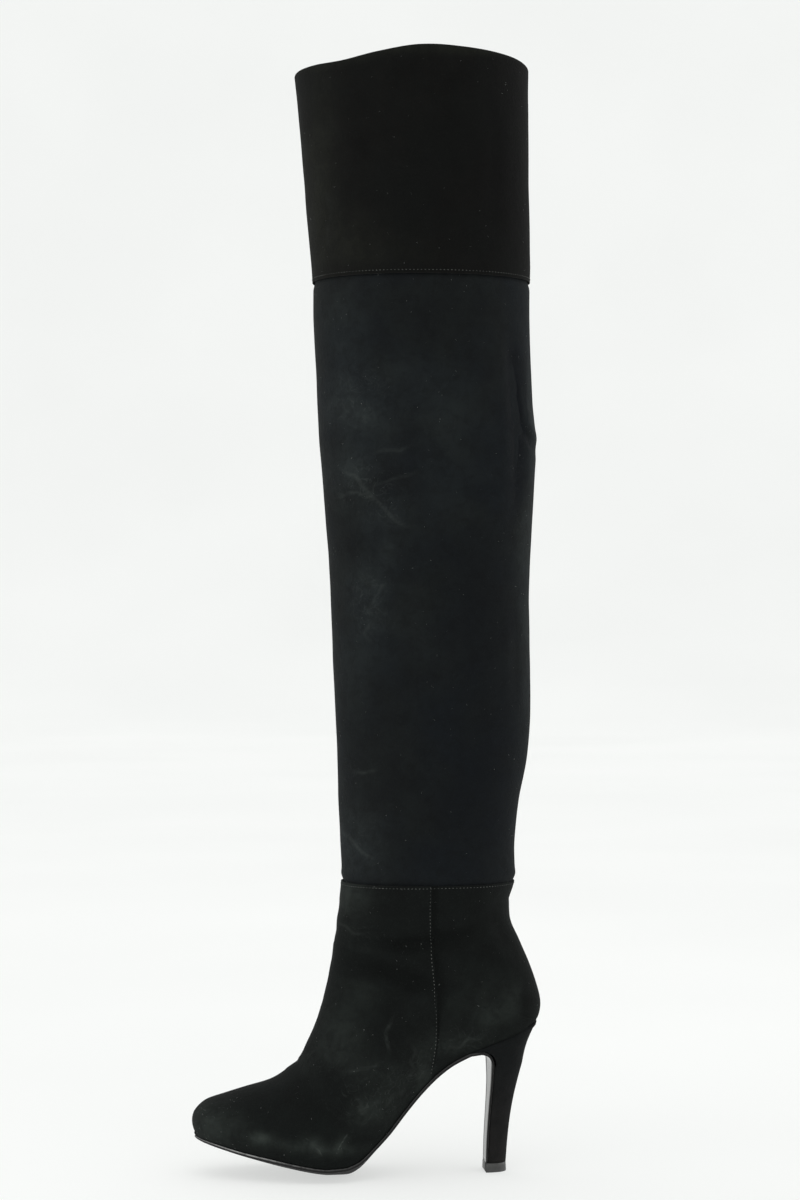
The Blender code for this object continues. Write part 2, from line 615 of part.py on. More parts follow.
def fillet_centre():
    """Centre of the curve that joins the waist's under face to the flap."""
    forward = HEEL[-1].breast + BREAST_FILLET
    thickness = sole_thickness(forward)
    return forward, bed_height(WAIST_END) - thickness + 0.0010 - BREAST_FILLET


def build_outsole(material, parent):
    """The outsole, from the toe over the waist and down the heel's breast to the top piece."""
    loops = []
    for forward in sole_stations(WAIST_END, FEATHER_TOE + SOLE_LEDGE):
        half, middle = outline(forward, -SOLE_LEDGE)
        thickness = sole_thickness(forward)
        normal = bed_normal(forward)
        under = (forward - normal[0] * thickness, bed_height(forward) - normal[1] * thickness)
        lifts = [edge_lift(forward, spread) for spread in SOLE_SPREAD]
        bead = min(0.0004, half / 4)
        loops.append(sheet_loop(under, normal, thickness, half, middle, lifts, bead))
    flat = [0.0] * len(SOLE_SPREAD)
    centre = fillet_centre()
    waist_half = outline(WAIST_END)[0]
    flap_half = HEEL[-1].width / 2 - FLAP_MARGIN
    for turn in (0, 22, 45, 68, 90):
        normal = (-math.sin(math.radians(turn)), math.cos(math.radians(turn)))
        under = (centre[0] + normal[0] * BREAST_FILLET, centre[1] + normal[1] * BREAST_FILLET)
        share = math.sin(math.radians(turn))
        half = waist_half + (flap_half - waist_half) * share**1.5
        thickness = WAIST_THICKNESS + (FLAP_THICKNESS - WAIST_THICKNESS) * share
        loops.append(sheet_loop(under, normal, thickness, half, 0.0, flat, 0.0))
    for share in (0.82, 0.64, 0.44, 0.22, 0.0):
        height = TOP_PIECE_HEIGHT + GAP + share * (centre[1] - TOP_PIECE_HEIGHT - GAP)
        row = heel_row(height)
        half = row.width / 2 - FLAP_MARGIN
        loops.append(sheet_loop((row.breast, height), (-1.0, 0.0), FLAP_THICKNESS, half, 0.0, flat, 0.0))
    return loft("outsole", loops[::-1], material, parent)


def insole_thickness(forward):
    """The insole carries a platform under the ball and toes."""
    share = min(max((forward / FOOT_LENGTH - 0.47) / 0.13, 0.0), 1.0)
    share = share * share * (3 - 2 * share)
    toe = min(max((forward / FOOT_LENGTH - 0.88) / 0.11, 0.0), 1.0)
    return INSOLE_THICKNESS + (PLATFORM_THICKNESS * (1 - 0.45 * toe) - INSOLE_THICKNESS) * share


def build_insole(material, parent):
    """The insole, with its platform, inside the upper's feather line."""
    inset = UPPER_WALL + 3 * GAP
    loops = []
    for forward in sole_stations(FEATHER_BACK + inset + 0.0035, FEATHER_TOE - inset - 0.0010):
        half, middle = outline(forward, inset)
        normal = bed_normal(forward)
        thickness = insole_thickness(forward)
        under = (forward + normal[0] * GAP, bed_height(forward) + normal[1] * GAP)
        lower, upper = [], []
        for spread in SOLE_SPREAD:
            lift = edge_lift(forward, spread)
            side = middle + spread * half
            lower.append(place(under[0] + normal[0] * lift, side, under[1] + normal[1] * lift))
            top = max(thickness, lift + INSOLE_THICKNESS * 0.6)
            upper.append(place(under[0] + normal[0] * top, side, under[1] + normal[1] * top))
        loops.append(lower + upper[::-1])
    return loft("insole", loops[::-1], material, parent)


def heel_loop(breast, back, half, power):
    """One section of the heel: a flat breast and a round back, between two points of the side view."""
    loop = []
    for side in (1, -1):
        turns = range(HEEL_CELLS + 1) if side > 0 else range(HEEL_CELLS - 1, -1, -1)
        for turn in turns:
            angle = math.pi / 2 * turn / HEEL_CELLS
            along = max(0.0, math.sin(angle)) ** (2 / power)
            out = max(0.0, math.cos(angle)) ** (2 / power) if turn < HEEL_CELLS else 0.0
            forward = breast[0] + (back[0] - breast[0]) * along
            up = breast[1] + (back[1] - breast[1]) * along
            loop.append(place(forward, side * half * out, up))
    return loop


def build_heel(material, parent):
    """The covered heel, from the top piece up to the seat."""
    behind = FLAP_THICKNESS + GAP
    centre = fillet_centre()
    loops = []
    for share in (0.0, 0.11, 0.22, 0.33, 0.44, 0.54, 0.64, 0.73, 0.82, 0.91, 1.0):
        height = TOP_PIECE_HEIGHT + GAP + share * (centre[1] - TOP_PIECE_HEIGHT - GAP)
        row = heel_row(height)
        loops.append(heel_loop((row.breast - behind, height), (row.back, height), row.width / 2, row.power))
    seat_back = (FEATHER_BACK + GAP, bed_height(FEATHER_BACK + GAP))
    seat_half = 0.5 * SEAT_WIDTH
    low_back = (HEEL[-1].back, centre[1])
    radius = BREAST_FILLET + WAIST_THICKNESS + GAP
    for turn, share in ((62, 0.36), (34, 0.66), (8, 0.86)):
        breast = (
            centre[0] - math.sin(math.radians(turn)) * radius,
            centre[1] + math.cos(math.radians(turn)) * radius,
        )
        bow = 0.0016 * math.sin(math.pi * share)
        back = (
            low_back[0] + (seat_back[0] - low_back[0]) * share + bow,
            low_back[1] + (seat_back[1] - low_back[1]) * share,
        )
        half = HEEL[-1].width / 2 + (seat_half - HEEL[-1].width / 2) * math.sin(math.pi / 2 * share) ** 1.2
        loops.append(heel_loop(breast, back, half, 2.4 + 0.5 * share))
    tip_height = bed_height(WEDGE_TIP)
    under_tip = (WEDGE_TIP, tip_height - 0.0006)
    low_seat = (seat_back[0] + 0.0005, seat_back[1] - 0.0022)
    loops.append(heel_loop(under_tip, low_seat, seat_half, 3.0))
    loops.append(heel_loop((WEDGE_TIP, tip_height), seat_back, seat_half, 3.0))
    return loft("heel", loops, material, parent)


def build_top_piece(material, parent):
    """The top piece that the heel stands on."""
    row = HEEL[0]
    loops = []
    for height, grow in ((0.0, TOP_PIECE_FLARE), (TOP_PIECE_HEIGHT, 0.0)):
        breast, back = (row.breast + grow, height), (row.back - grow, height)
        loops.append(heel_loop(breast, back, row.width / 2 + grow, row.power))
    return loft("top_piece", loops, material, parent)


def main():
    for old in list(bpy.data.objects):
        bpy.data.objects.remove(old)
    boot = bpy.data.objects.new("boot", None)
    bpy.context.scene.collection.objects.link(boot)
    suede = (0.012, 0.013, 0.013)
    build_outsole(leather("sole_leather", (0.016, 0.016, 0.017), 0.35), boot)
    build_insole(leather("insole_lining", (0.020, 0.019, 0.018), 0.7), boot)
    build_heel(leather("heel_cover_suede", suede, 0.95), boot)
    build_top_piece(leather("top_piece_rubber", (0.035, 0.035, 0.036), 0.6), boot)
    build_upper(leather("upper_suede", suede, 0.95), boot)
    build_leg(leather("leg_suede", suede, 0.95), boot)
    build_cuff(leather("cuff_suede", suede, 0.95), boot)


main()
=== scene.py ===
"""Looks of a thigh high suede boot, for the left foot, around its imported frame.

Suede, sole, heel cover and seams are worked out from the boot's own sizes, as fine meshes over the frame's
solids. Lengths are in metres unless a name says mm. "Forward" runs from the back of the heel to the toe,
"side" points to the outer side, and "up" is the height above the floor.
"""

import math
from collections import namedtuple
from functools import partial

import bmesh
import bpy
import numpy as np
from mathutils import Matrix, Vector, noise


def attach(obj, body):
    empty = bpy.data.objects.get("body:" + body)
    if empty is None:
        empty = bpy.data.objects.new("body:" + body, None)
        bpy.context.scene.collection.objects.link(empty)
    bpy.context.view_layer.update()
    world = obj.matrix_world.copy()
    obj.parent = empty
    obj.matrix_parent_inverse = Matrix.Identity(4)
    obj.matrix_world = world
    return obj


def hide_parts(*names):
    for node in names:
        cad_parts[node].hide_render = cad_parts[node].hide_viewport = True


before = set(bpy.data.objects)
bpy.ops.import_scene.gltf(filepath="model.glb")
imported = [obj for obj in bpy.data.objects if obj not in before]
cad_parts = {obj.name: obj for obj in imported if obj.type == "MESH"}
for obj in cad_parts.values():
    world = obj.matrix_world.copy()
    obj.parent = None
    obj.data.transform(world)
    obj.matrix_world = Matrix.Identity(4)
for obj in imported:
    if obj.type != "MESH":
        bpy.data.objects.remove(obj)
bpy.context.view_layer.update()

# Foot and last
FOOT_LENGTH = 0.226
SEAT_WIDTH = 0.0524
WAIST_WIDTH = 0.0446
BALL_WIDTH = 0.0766
INSTEP_WIDTH = 0.066
SEAT_RISE = 0.0953
TOE_SPRING = 0.0215
EDGE_LIFT = 0.0046
TOE_LEAN = 0.0075

# Leg: depths run from front to back, widths from side to side
ANKLE_RISE = 0.091
LEG_LENGTH = 0.388
CUFF_LENGTH = 0.1345
COLLAR_WAVE = 0.0086
ANKLE_DEPTH = 0.1126
ANKLE_WIDTH = 0.0926
CALF_DEPTH = 0.1264
CALF_WIDTH = 0.1108
KNEE_DEPTH = 0.1400
KNEE_WIDTH = 0.1252
COLLAR_DEPTH = 0.1522
COLLAR_WIDTH = 0.146

# Leather thicknesses, seams and clearances
UPPER_WALL = 0.0018
LEG_WALL = 0.0014
SKIVED_EDGE = 0.0010
CUFF_EDGE = 0.0008
TURNED_EDGE = 0.0022
PANEL_STEP = 0.0006
SEAM_LAP = 0.0085
SEAM_EASE = 0.0054
GAP = 0.0003

# Sole, insole, heel and top piece
OUTSOLE_THICKNESS = 0.003
WAIST_THICKNESS = 0.0023
FLAP_THICKNESS = 0.0014
SOLE_LEDGE = 0.0007
BREAST_FILLET = 0.0076
HEEL_WIDTH = 0.0192
HEEL_DEPTH = 0.0138
TOP_PIECE_HEIGHT = 0.006
TOP_PIECE_FLARE = 0.0003

# Landmarks worked out from the sizes above
SEAT_HEIGHT = OUTSOLE_THICKNESS + SEAT_RISE
ANKLE_SEAM = SEAT_HEIGHT + ANKLE_RISE
KNEE_SEAM = ANKLE_SEAM + LEG_LENGTH
COLLAR_HEIGHT = KNEE_SEAM + CUFF_LENGTH
FEATHER_BACK = 0.009 * FOOT_LENGTH
FEATHER_TOE = 0.987 * FOOT_LENGTH
TREAD_FRONT = 0.620 * FOOT_LENGTH
TOE_CURVE = 1.35
HEEL_ROUND = 0.106 * FOOT_LENGTH
TOE_ROUND = 0.265 * FOOT_LENGTH
TOE_POWER = 2.2
RING_POWER = 2.1
FAN_TOP = ANKLE_SEAM - SEAM_LAP - 0.003

# How much of the sole's half width lies flat
FLAT_SHARE = 0.56


def rows_of(columns, *rows):
    """A table of rows whose columns have names."""
    kind = namedtuple("Row", columns)
    return tuple(kind(*row) for row in rows)


# Height of the sole's upper face over the ball, as a share of SEAT_RISE
ARCH = rows_of(
    "station rise",
    (0.009, 1.000), (0.089, 0.925), (0.171, 0.849), (0.257, 0.748), (0.305, 0.660), (0.350, 0.548),
    (0.396, 0.412), (0.442, 0.262), (0.489, 0.130), (0.522, 0.048), (0.550, 0.008), (0.572, 0.000),
    (0.620, 0.000),
)

# Feather line from above: half width, and the middle's lean towards the outer side
OUTLINE = rows_of(
    "station half middle",
    (0.009, 0.495 * SEAT_WIDTH, 0.0),
    (0.133, 0.504 * SEAT_WIDTH, 0.0),
    (0.177, 0.492 * SEAT_WIDTH, 0.02 * TOE_LEAN),
    (0.243, 0.538 * WAIST_WIDTH, 0.10 * TOE_LEAN),
    (0.310, 0.502 * WAIST_WIDTH, 0.18 * TOE_LEAN),
    (0.376, 0.500 * WAIST_WIDTH, 0.25 * TOE_LEAN),
    (0.442, 0.333 * BALL_WIDTH, 0.31 * TOE_LEAN),
    (0.509, 0.405 * BALL_WIDTH, 0.33 * TOE_LEAN),
    (0.575, 0.470 * BALL_WIDTH, 0.30 * TOE_LEAN),
    (0.642, 0.500 * BALL_WIDTH, 0.18 * TOE_LEAN),
    (0.708, 0.496 * BALL_WIDTH, -0.05 * TOE_LEAN),
    (0.774, 0.467 * BALL_WIDTH, -0.30 * TOE_LEAN),
    (0.841, 0.437 * BALL_WIDTH, -0.55 * TOE_LEAN),
    (0.907, 0.411 * BALL_WIDTH, -0.80 * TOE_LEAN),
    (0.987, 0.392 * BALL_WIDTH, -1.00 * TOE_LEAN),
)

# How much of EDGE_LIFT the sole's edges rise over its middle
CUPPING = rows_of(
    "station lift",
    (0.000, 0.00), (0.200, 0.00), (0.380, 0.30), (0.500, 0.85), (0.600, 1.00), (0.780, 0.95), (0.920, 0.45),
    (1.000, 0.00),
)

# How far wear has curled the sole's edges up round the ball, beyond the last's own cupping
CURL = rows_of(
    "station lift",
    (0.440, 0.0000), (0.500, 0.0008), (0.545, 0.0026), (0.590, 0.0020), (0.650, 0.0013), (0.760, 0.0007),
    (0.860, 0.0000), (1.000, 0.0000),
)

# Hoops of the foot, from the toe to the ankle. "low" is the station where the hoop meets the feather line,
# or its back above the seat, and "climb" its share of the way from the seat to the ankle. "reach" and "rise"
# run from there to the hoop's top or front. "widest" is how far down from the top it is widest, and "turn"
# how far it turns under at the feather line, in degrees.
HOOPS = rows_of(
    "number low climb reach rise half crest widest top_power low_power turn",
    (0, 0.9870, 0.000, 0.0000, 0.000, 0.000, -0.117, 0.600, 2.20, 2.0, 55),
    (1, 0.9820, 0.000, 0.0150, 0.060, 0.110 * BALL_WIDTH, -0.117, 0.600, 2.20, 2.0, 55),
    (2, 0.9665, 0.000, 0.0315, 0.125, 0.196 * BALL_WIDTH, -0.115, 0.620, 2.20, 2.0, 55),
    (3, 0.9400, 0.000, 0.0485, 0.191, 0.277 * BALL_WIDTH, -0.112, 0.660, 2.20, 2.0, 55),
    (4, 0.9020, 0.000, 0.0587, 0.270, 0.352 * BALL_WIDTH, -0.107, 0.700, 2.15, 2.0, 55),
    (5, 0.8450, 0.000, 0.0664, 0.341, 0.428 * BALL_WIDTH, -0.098, 0.740, 2.10, 2.0, 55),
    (6, 0.7700, 0.000, 0.0730, 0.430, 0.493 * BALL_WIDTH, -0.085, 0.765, 2.05, 2.0, 55),
    (7, 0.6858, 0.000, 0.0907, 0.520, 0.526 * BALL_WIDTH, -0.068, 0.780, 2.00, 2.0, 55),
    (8, 0.6018, 0.000, 0.1150, 0.629, 0.516 * BALL_WIDTH, -0.052, 0.775, 1.95, 2.0, 55),
    (9, 0.5221, 0.000, 0.1475, 0.694, 0.478 * BALL_WIDTH, -0.039, 0.740, 1.95, 2.0, 55),
    (10, 0.4469, 0.000, 0.1962, 0.641, 0.541 * INSTEP_WIDTH, -0.029, 0.700, 1.98, 2.0, 55),
    (11, 0.3761, 0.000, 0.2520, 0.547, 0.510 * INSTEP_WIDTH, -0.021, 0.660, 2.02, 2.0, 55),
    (12, 0.3053, 0.000, 0.3148, 0.453, 0.496 * INSTEP_WIDTH, -0.014, 0.630, 2.08, 2.0, 56),
    (13, 0.2345, 0.000, 0.3790, 0.434, 0.491 * INSTEP_WIDTH, -0.009, 0.600, 2.15, 2.05, 57),
    (14, 0.1681, 0.000, 0.4372, 0.448, 0.495 * INSTEP_WIDTH, -0.005, 0.580, 2.20, 2.1, 60),
    (15, 0.1062, 0.000, 0.4940, 0.464, 0.502 * INSTEP_WIDTH, -0.002, 0.565, 2.25, 2.15, 66),
    (16, 0.0575, 0.000, 0.5382, 0.482, 0.507 * INSTEP_WIDTH, 0.000, 0.555, 2.28, 2.2, 73),
    (17, 0.0243, 0.000, 0.5680, 0.504, 0.511 * INSTEP_WIDTH, 0.000, 0.550, 2.30, 2.25, 81),
    (18, 0.0090, 0.000, 0.5808, 0.531, 0.515 * INSTEP_WIDTH, 0.000, 0.545, 2.30, 2.3, 90),
    (19, -0.0013, 0.074, 0.5879, 0.511, 0.519 * INSTEP_WIDTH, 0.000, 0.540, 2.30, 2.3, 90),
    (20, -0.0024, 0.169, 0.5859, 0.474, 0.524 * INSTEP_WIDTH, 0.000, 0.535, 2.30, 2.3, 90),
    (21, 0.0097, 0.307, 0.5724, 0.405, 0.362 * ANKLE_WIDTH, 0.000, 0.530, 2.28, 2.28, 90),
    (22, 0.0306, 0.471, 0.5493, 0.316, 0.380 * ANKLE_WIDTH, 0.000, 0.520, 2.25, 2.25, 90),
    (23, 0.0600, 0.660, 0.5166, 0.205, 0.407 * ANKLE_WIDTH, 0.000, 0.510, 2.20, 2.2, 90),
    (24, 0.0846, 0.824, 0.4900, 0.111, 0.437 * ANKLE_WIDTH, 0.000, 0.505, 2.15, 2.15, 90),
)
INSTEP_RISE = 0.095
CLOSING_HOOP = 18
LAST_VAMP_HOOP = 11.7
LEG_HOOP = 25

# The leg from the ankle to the collar. LEG_SHARES gives the height as a share of the way from the ankle seam
# to the collar, the part whose depth and width count there, the front's distance from LEG_BACK as a share of
# that depth, the back's distance from the heel's back as a share of the foot, and the width's share.
LEG_BACK = 0.0282 * FOOT_LENGTH
LEG_SIZES = {
    "ankle": (ANKLE_DEPTH, ANKLE_WIDTH),
    "calf": (CALF_DEPTH, CALF_WIDTH),
    "knee": (KNEE_DEPTH, KNEE_WIDTH),
    "collar": (COLLAR_DEPTH, COLLAR_WIDTH),
}
LEG_SHARES = (
    (-0.022, "ankle", 1.096, 0.0885, 0.940),
    (0.001, "ankle", 1.087, 0.0728, 1.000),
    (0.050, "ankle", 1.094, 0.0730, 1.050),
    (0.100, "calf", 0.984, 0.0602, 0.920),
    (0.150, "calf", 0.991, 0.0372, 0.964),
    (0.199, "calf", 1.000, 0.0283, 1.000),
    (0.298, "calf", 1.016, 0.0300, 1.040),
    (0.397, "knee", 0.936, 0.0283, 0.950),
    (0.496, "knee", 0.963, 0.0168, 0.984),
    (0.546, "knee", 0.977, 0.0119, 1.000),
    (0.596, "knee", 0.988, 0.0212, 1.014),
    (0.695, "knee", 1.006, 0.0300, 1.043),
    (0.742, "knee", 1.008, 0.0305, 1.057),
    (0.846, "collar", 0.956, 0.0332, 0.940),
    (0.945, "collar", 0.985, 0.0358, 0.975),
    (1.020, "collar", 1.012, 0.0350, 1.000),
)
LEG = rows_of(
    "height front back width",
    *(
        (height, LEG_BACK + front * LEG_SIZES[part][0], back * FOOT_LENGTH, width * LEG_SIZES[part][1])
        for height, part, front, back, width in LEG_SHARES
    ),
)

# The collar's wave, by the angle round from the front, as a share of COLLAR_WAVE
COLLAR = rows_of(
    "angle wave",
    (0, 0.00), (30, 0.00), (50, 0.03), (70, 0.52), (90, 1.00), (110, 0.95), (140, 0.71), (160, 0.50),
    (180, 0.30),
)

# The side seam between vamp and quarter, from the feather line up to the ankle seam
SIDE_SEAM = rows_of(
    "height forward",
    (0.300, 0.3285), (0.370, 0.3212), (0.475, 0.3118), (0.610, 0.3124), (0.750, 0.3220), (0.887, 0.3300),
    (1.000, 0.3320),
)

# The heel between the top piece and the breast's fillet: the height as a share, the breast's and the back's
# distance from the heel's back, the width, and how square the back is
HEEL_BACK = 0.0969 * FOOT_LENGTH
HEEL = rows_of(
    "height breast back width power",
    (0.00, HEEL_BACK + 1.000 * HEEL_DEPTH, HEEL_BACK, 1.00 * HEEL_WIDTH, 2.2),
    (0.22, HEEL_BACK + 0.970 * HEEL_DEPTH, 0.0920 * FOOT_LENGTH, 1.02 * HEEL_WIDTH, 2.2),
    (0.44, HEEL_BACK + 0.910 * HEEL_DEPTH, 0.0850 * FOOT_LENGTH, 1.08 * HEEL_WIDTH, 2.2),
    (0.64, HEEL_BACK + 0.845 * HEEL_DEPTH, 0.0752 * FOOT_LENGTH, 1.22 * HEEL_WIDTH, 2.25),
    (0.82, HEEL_BACK + 0.795 * HEEL_DEPTH, 0.0633 * FOOT_LENGTH, 1.48 * HEEL_WIDTH, 2.3),
    (1.00, HEEL_BACK + 0.790 * HEEL_DEPTH, 0.0500 * FOOT_LENGTH, 1.92 * HEEL_WIDTH, 2.4),
)
FLAP_MARGIN = 0.0009
WEDGE_TIP = 0.2010 * FOOT_LENGTH
WAIST_END = 0.2130 * FOOT_LENGTH

# Creases and scuffs, in millimetres forward and up, over the outer side unless side is -1. depth is
# a trough's, or a ridge's where it is negative, and pale says how much the nap is rubbed pale along it.
CREASE = "side depth width pale line"
LEG_CREASES = rows_of(
    CREASE,
    (1, 0.75, 3.0, 0.7, ((136, 436), (129, 439), (123, 440), (113, 436), (105, 428), (99, 421), (90, 417))),
    (1, 0.55, 2.6, 0.55, ((133, 455), (125, 451), (119, 443), (113, 437), (110, 431))),
    (1, 0.90, 3.4, 0.35, ((116, 443), (109, 445), (102, 448), (94, 450), (84, 453))),
    (1, -0.45, 3.0, 0.35, ((112, 464), (107, 466), (97, 466), (88, 469))),
    (1, 0.4, 2.4, 0.35, ((122, 389), (119, 383), (112, 380), (107, 381), (112, 372), (116, 364), (110, 359))),
    (1, 0.30, 2.4, 0.3, ((110, 359), (114, 355), (118, 350), (113, 345))),
    (1, 0.45, 3.0, 0.4, ((128, 262), (119, 261), (110, 263))),
    (1, 0.35, 2.6, 0.5, ((131, 224), (124, 216), (117, 209), (110, 206))),
    (1, 0.70, 5.0, 0.0, ((60, 441), (48, 439), (36, 441), (24, 446))),
    (1, 2.10, 5.2, 0.0, ((25, 541), (23, 524), (20, 499), (19, 480), (19, 461), (20, 441), (22, 426))),
    (1, -1.00, 3.4, 0.2, ((17, 512), (15, 498), (14, 486), (10, 479), (4, 476))),
    (1, 1.30, 3.0, 0.0, ((19, 494), (14, 481), (9, 472), (4, 468))),
    (1, 0.50, 4.0, 0.0, ((24, 370), (20, 350), (20, 325), (22, 300))),
    (-1, 0.80, 3.2, 0.7, ((135, 440), (126, 441), (115, 434), (104, 430), (95, 421), (84, 418))),
    (-1, 0.80, 3.4, 0.3, ((118, 452), (107, 455), (96, 452), (82, 457))),
    (-1, 0.45, 2.6, 0.5, ((124, 392), (116, 384), (108, 385), (112, 374), (106, 366))),
    (-1, 1.70, 5.2, 0.0, ((26, 532), (22, 512), (20, 488), (20, 462), (22, 438))),
    (-1, 0.45, 3.0, 0.4, ((127, 250), (117, 247), (105, 250))),
)
FOOT_CREASES = rows_of(
    CREASE,
    (1, -0.50, 2.6, 0.4, ((133, 165), (129, 162), (122, 158), (114, 157))),
    (1, 1.60, 4.4, 0.0, ((118, 151), (108, 150), (96, 151), (84, 152), (70, 154), (56, 158), (42, 162))),
    (1, 1.90, 5.6, 0.0, ((134, 140), (125, 139), (110, 138), (98, 132), (88, 127), (75, 124), (64, 124))),
    (1, 0.30, 2.2, 0.5, ((98, 107), (100, 101), (103, 95), (102, 87), (101, 79))),
    (1, -0.25, 2.4, 0.6, ((129, 70), (121, 72), (111, 74), (106, 77))),
    (1, 0.90, 7.0, 0.0, ((156, 82), (147, 76), (139, 68), (132, 58))),
    (1, 0.30, 2.2, 0.5, ((113, 50), (108, 53), (103, 49), (99, 56), (93, 55), (90, 62))),
    (1, 0.30, 2.2, 0.5, ((112, 41), (116, 46), (121, 44), (119, 52), (124, 57))),
    (1, 0.30, 2.0, 0.5, ((89, 66), (85, 71), (88, 77), (84, 82), (87, 88))),
    (1, 0.28, 2.0, 0.5, ((66, 80), (61, 86), (55, 84), (50, 90), (43, 89), (38, 94))),
    (1, 0.80, 4.2, 0.0, ((36, 170), (30, 160), (24, 150), (18, 141))),
    (-1, 1.10, 4.6, 0.2, ((128, 158), (117, 153), (104, 152), (90, 156), (76, 158))),
    (-1, 1.10, 5.2, 0.0, ((133, 138), (122, 136), (108, 131), (95, 124), (82, 121))),
    (-1, 0.90, 7.0, 0.0, ((156, 82), (147, 75), (140, 66))),
    (-1, 0.30, 2.2, 0.4, ((112, 55), (106, 60), (100, 56), (94, 63))),
)
CUFF_CREASES = rows_of(
    CREASE,
    (1, 0.45, 3.6, 0.15, ((142, 633), (140, 624), (139, 617), (141, 609), (141, 599), (139, 592))),
    (1, 0.40, 6.0, 0.0, ((120, 700), (116, 670), (118, 640), (114, 612))),
    (1, 0.35, 5.0, 0.0, ((40, 690), (36, 660), (38, 630), (34, 604))),
    (-1, 0.45, 5.0, 0.1, ((132, 650), (128, 630), (130, 610))),
    (-1, 0.35, 6.0, 0.0, ((52, 700), (48, 670), (50, 640))),
)
# Thin scratches in the nap, with no depth to speak of
FOOT_SCRATCHES = rows_of(
    CREASE,
    (1, 0.0, 1.0, 1.6, ((157, 31), (152, 28), (148, 24), (145, 18))),
    (1, 0.0, 1.0, 1.8, ((136, 18), (134, 23), (131, 29), (128, 33))),
    (1, 0.0, 1.0, 1.0, ((149, 34), (149, 26), (148, 20))),
    (1, 0.0, 1.0, 0.6, ((64, 128), (60, 131), (57, 127))),
)

# Patches where the nap is worn pale, or painted with shade where the amount is below nought
PATCH = "side forward up reach height amount"
LEG_PATCHES = rows_of(
    PATCH,
    (1, 130, 500, 12, 16, 0.50), (1, 116, 486, 17, 14, 0.55), (1, 127, 455, 14, 15, 0.60),
    (1, 108, 424, 14, 12, 0.40), (1, 104, 401, 5, 10, 0.45), (1, 117, 384, 12, 14, 0.34),
    (1, 113, 362, 11, 18, 0.36), (1, 125, 330, 14, 30, 0.24), (1, 122, 215, 16, 26, 0.45),
    (1, 130, 545, 12, 26, 0.35), (1, 96, 512, 22, 14, 0.22), (1, 66, 486, 20, 26, 0.30),
    # The pale strips at 8 and 12 mm forward run down the leg's back edge and are painted rim light. The dark
    # ones at 20 mm, behind the knee, and every other patch below nought are painted shade.
    (1, 62, 430, 26, 26, 0.22), (1, 84, 350, 22, 40, 0.16), (1, 8, 500, 8, 34, 0.45),
    (1, 12, 400, 9, 60, 0.50), (1, 12, 320, 9, 40, 0.35), (1, 20, 500, 6, 30, -0.70),
    (1, 20, 455, 6, 26, -0.60), (1, 48, 384, 24, 34, -0.40), (1, 40, 300, 24, 70, -0.42),
    (1, 46, 236, 30, 34, -0.34), (1, 92, 300, 18, 40, -0.15), (-1, 122, 492, 20, 22, 0.50),
    (-1, 112, 440, 18, 20, 0.45), (-1, 116, 378, 14, 24, 0.40), (-1, 60, 300, 30, 50, -0.30),
    (-1, 20, 480, 8, 40, -0.55), (-1, 54, 430, 30, 40, 0.25),
)
FOOT_PATCHES = rows_of(
    PATCH,
    (1, 128, 186, 8, 14, 0.60), (1, 120, 176, 14, 12, 0.25), (1, 113, 147, 12, 6, 0.28),
    (1, 118, 122, 12, 12, 0.28), (1, 130, 92, 12, 18, 0.40), (1, 146, 76, 14, 10, 0.38),
    (1, 104, 70, 22, 22, 0.20), (1, 79, 68, 6, 12, 0.65), (1, 98, 52, 20, 18, 0.20),
    (1, 118, 44, 12, 10, 0.38), (1, 60, 88, 24, 8, 0.32), (1, 20, 114, 7, 10, 0.36),
    # The thin pale patches low on the forefoot, at 183, 163 and 136 mm forward, and the one at 170 mm on the
    # inner side, are a painted highlight where the upper rounds in over the sole; the lower roughness they
    # give the nap is a real shine. Every patch below nought is painted shade.
    (1, 34, 103, 11, 6, 0.34), (1, 40, 112, 24, 16, 0.26), (1, 183, 29, 8, 3.5, 0.95),
    (1, 163, 25, 20, 3.5, 0.45), (1, 136, 22, 20, 4, 0.55), (1, 208, 34, 16, 13, 0.48),
    (1, 218, 36, 8, 16, 0.38), (1, 84, 151, 16, 6, -0.80), (1, 60, 156, 24, 8, -0.30),
    (1, 104, 134, 20, 5, -0.50), (1, 86, 127, 13, 7, -0.85), (1, 10, 112, 5, 9, -0.40),
    (1, 160, 50, 26, 9, -0.40), (1, 62, 178, 30, 9, -0.25), (1, 100, 92, 10, 12, -0.25),
    (-1, 128, 92, 14, 24, 0.35), (-1, 100, 55, 24, 16, 0.35), (-1, 30, 112, 14, 12, 0.45),
    (-1, 90, 148, 24, 8, -0.45), (-1, 170, 30, 30, 6, 0.60),
)
CUFF_PATCHES = rows_of(
    PATCH,
    (1, 146, 640, 9, 60, 0.45), (1, 128, 600, 18, 18, 0.28), (1, 96, 590, 40, 10, 0.16),
    # The dark patches, at 22 and 60 mm forward on the outer side and at 60 mm on the inner side, are painted
    # shade on the cuff's back.
    (1, 60, 718, 70, 5, 0.24), (1, 22, 650, 22, 64, -0.90), (1, 60, 650, 30, 46, -0.20),
    (-1, 120, 640, 20, 50, 0.25), (-1, 60, 640, 36, 50, -0.20),
)

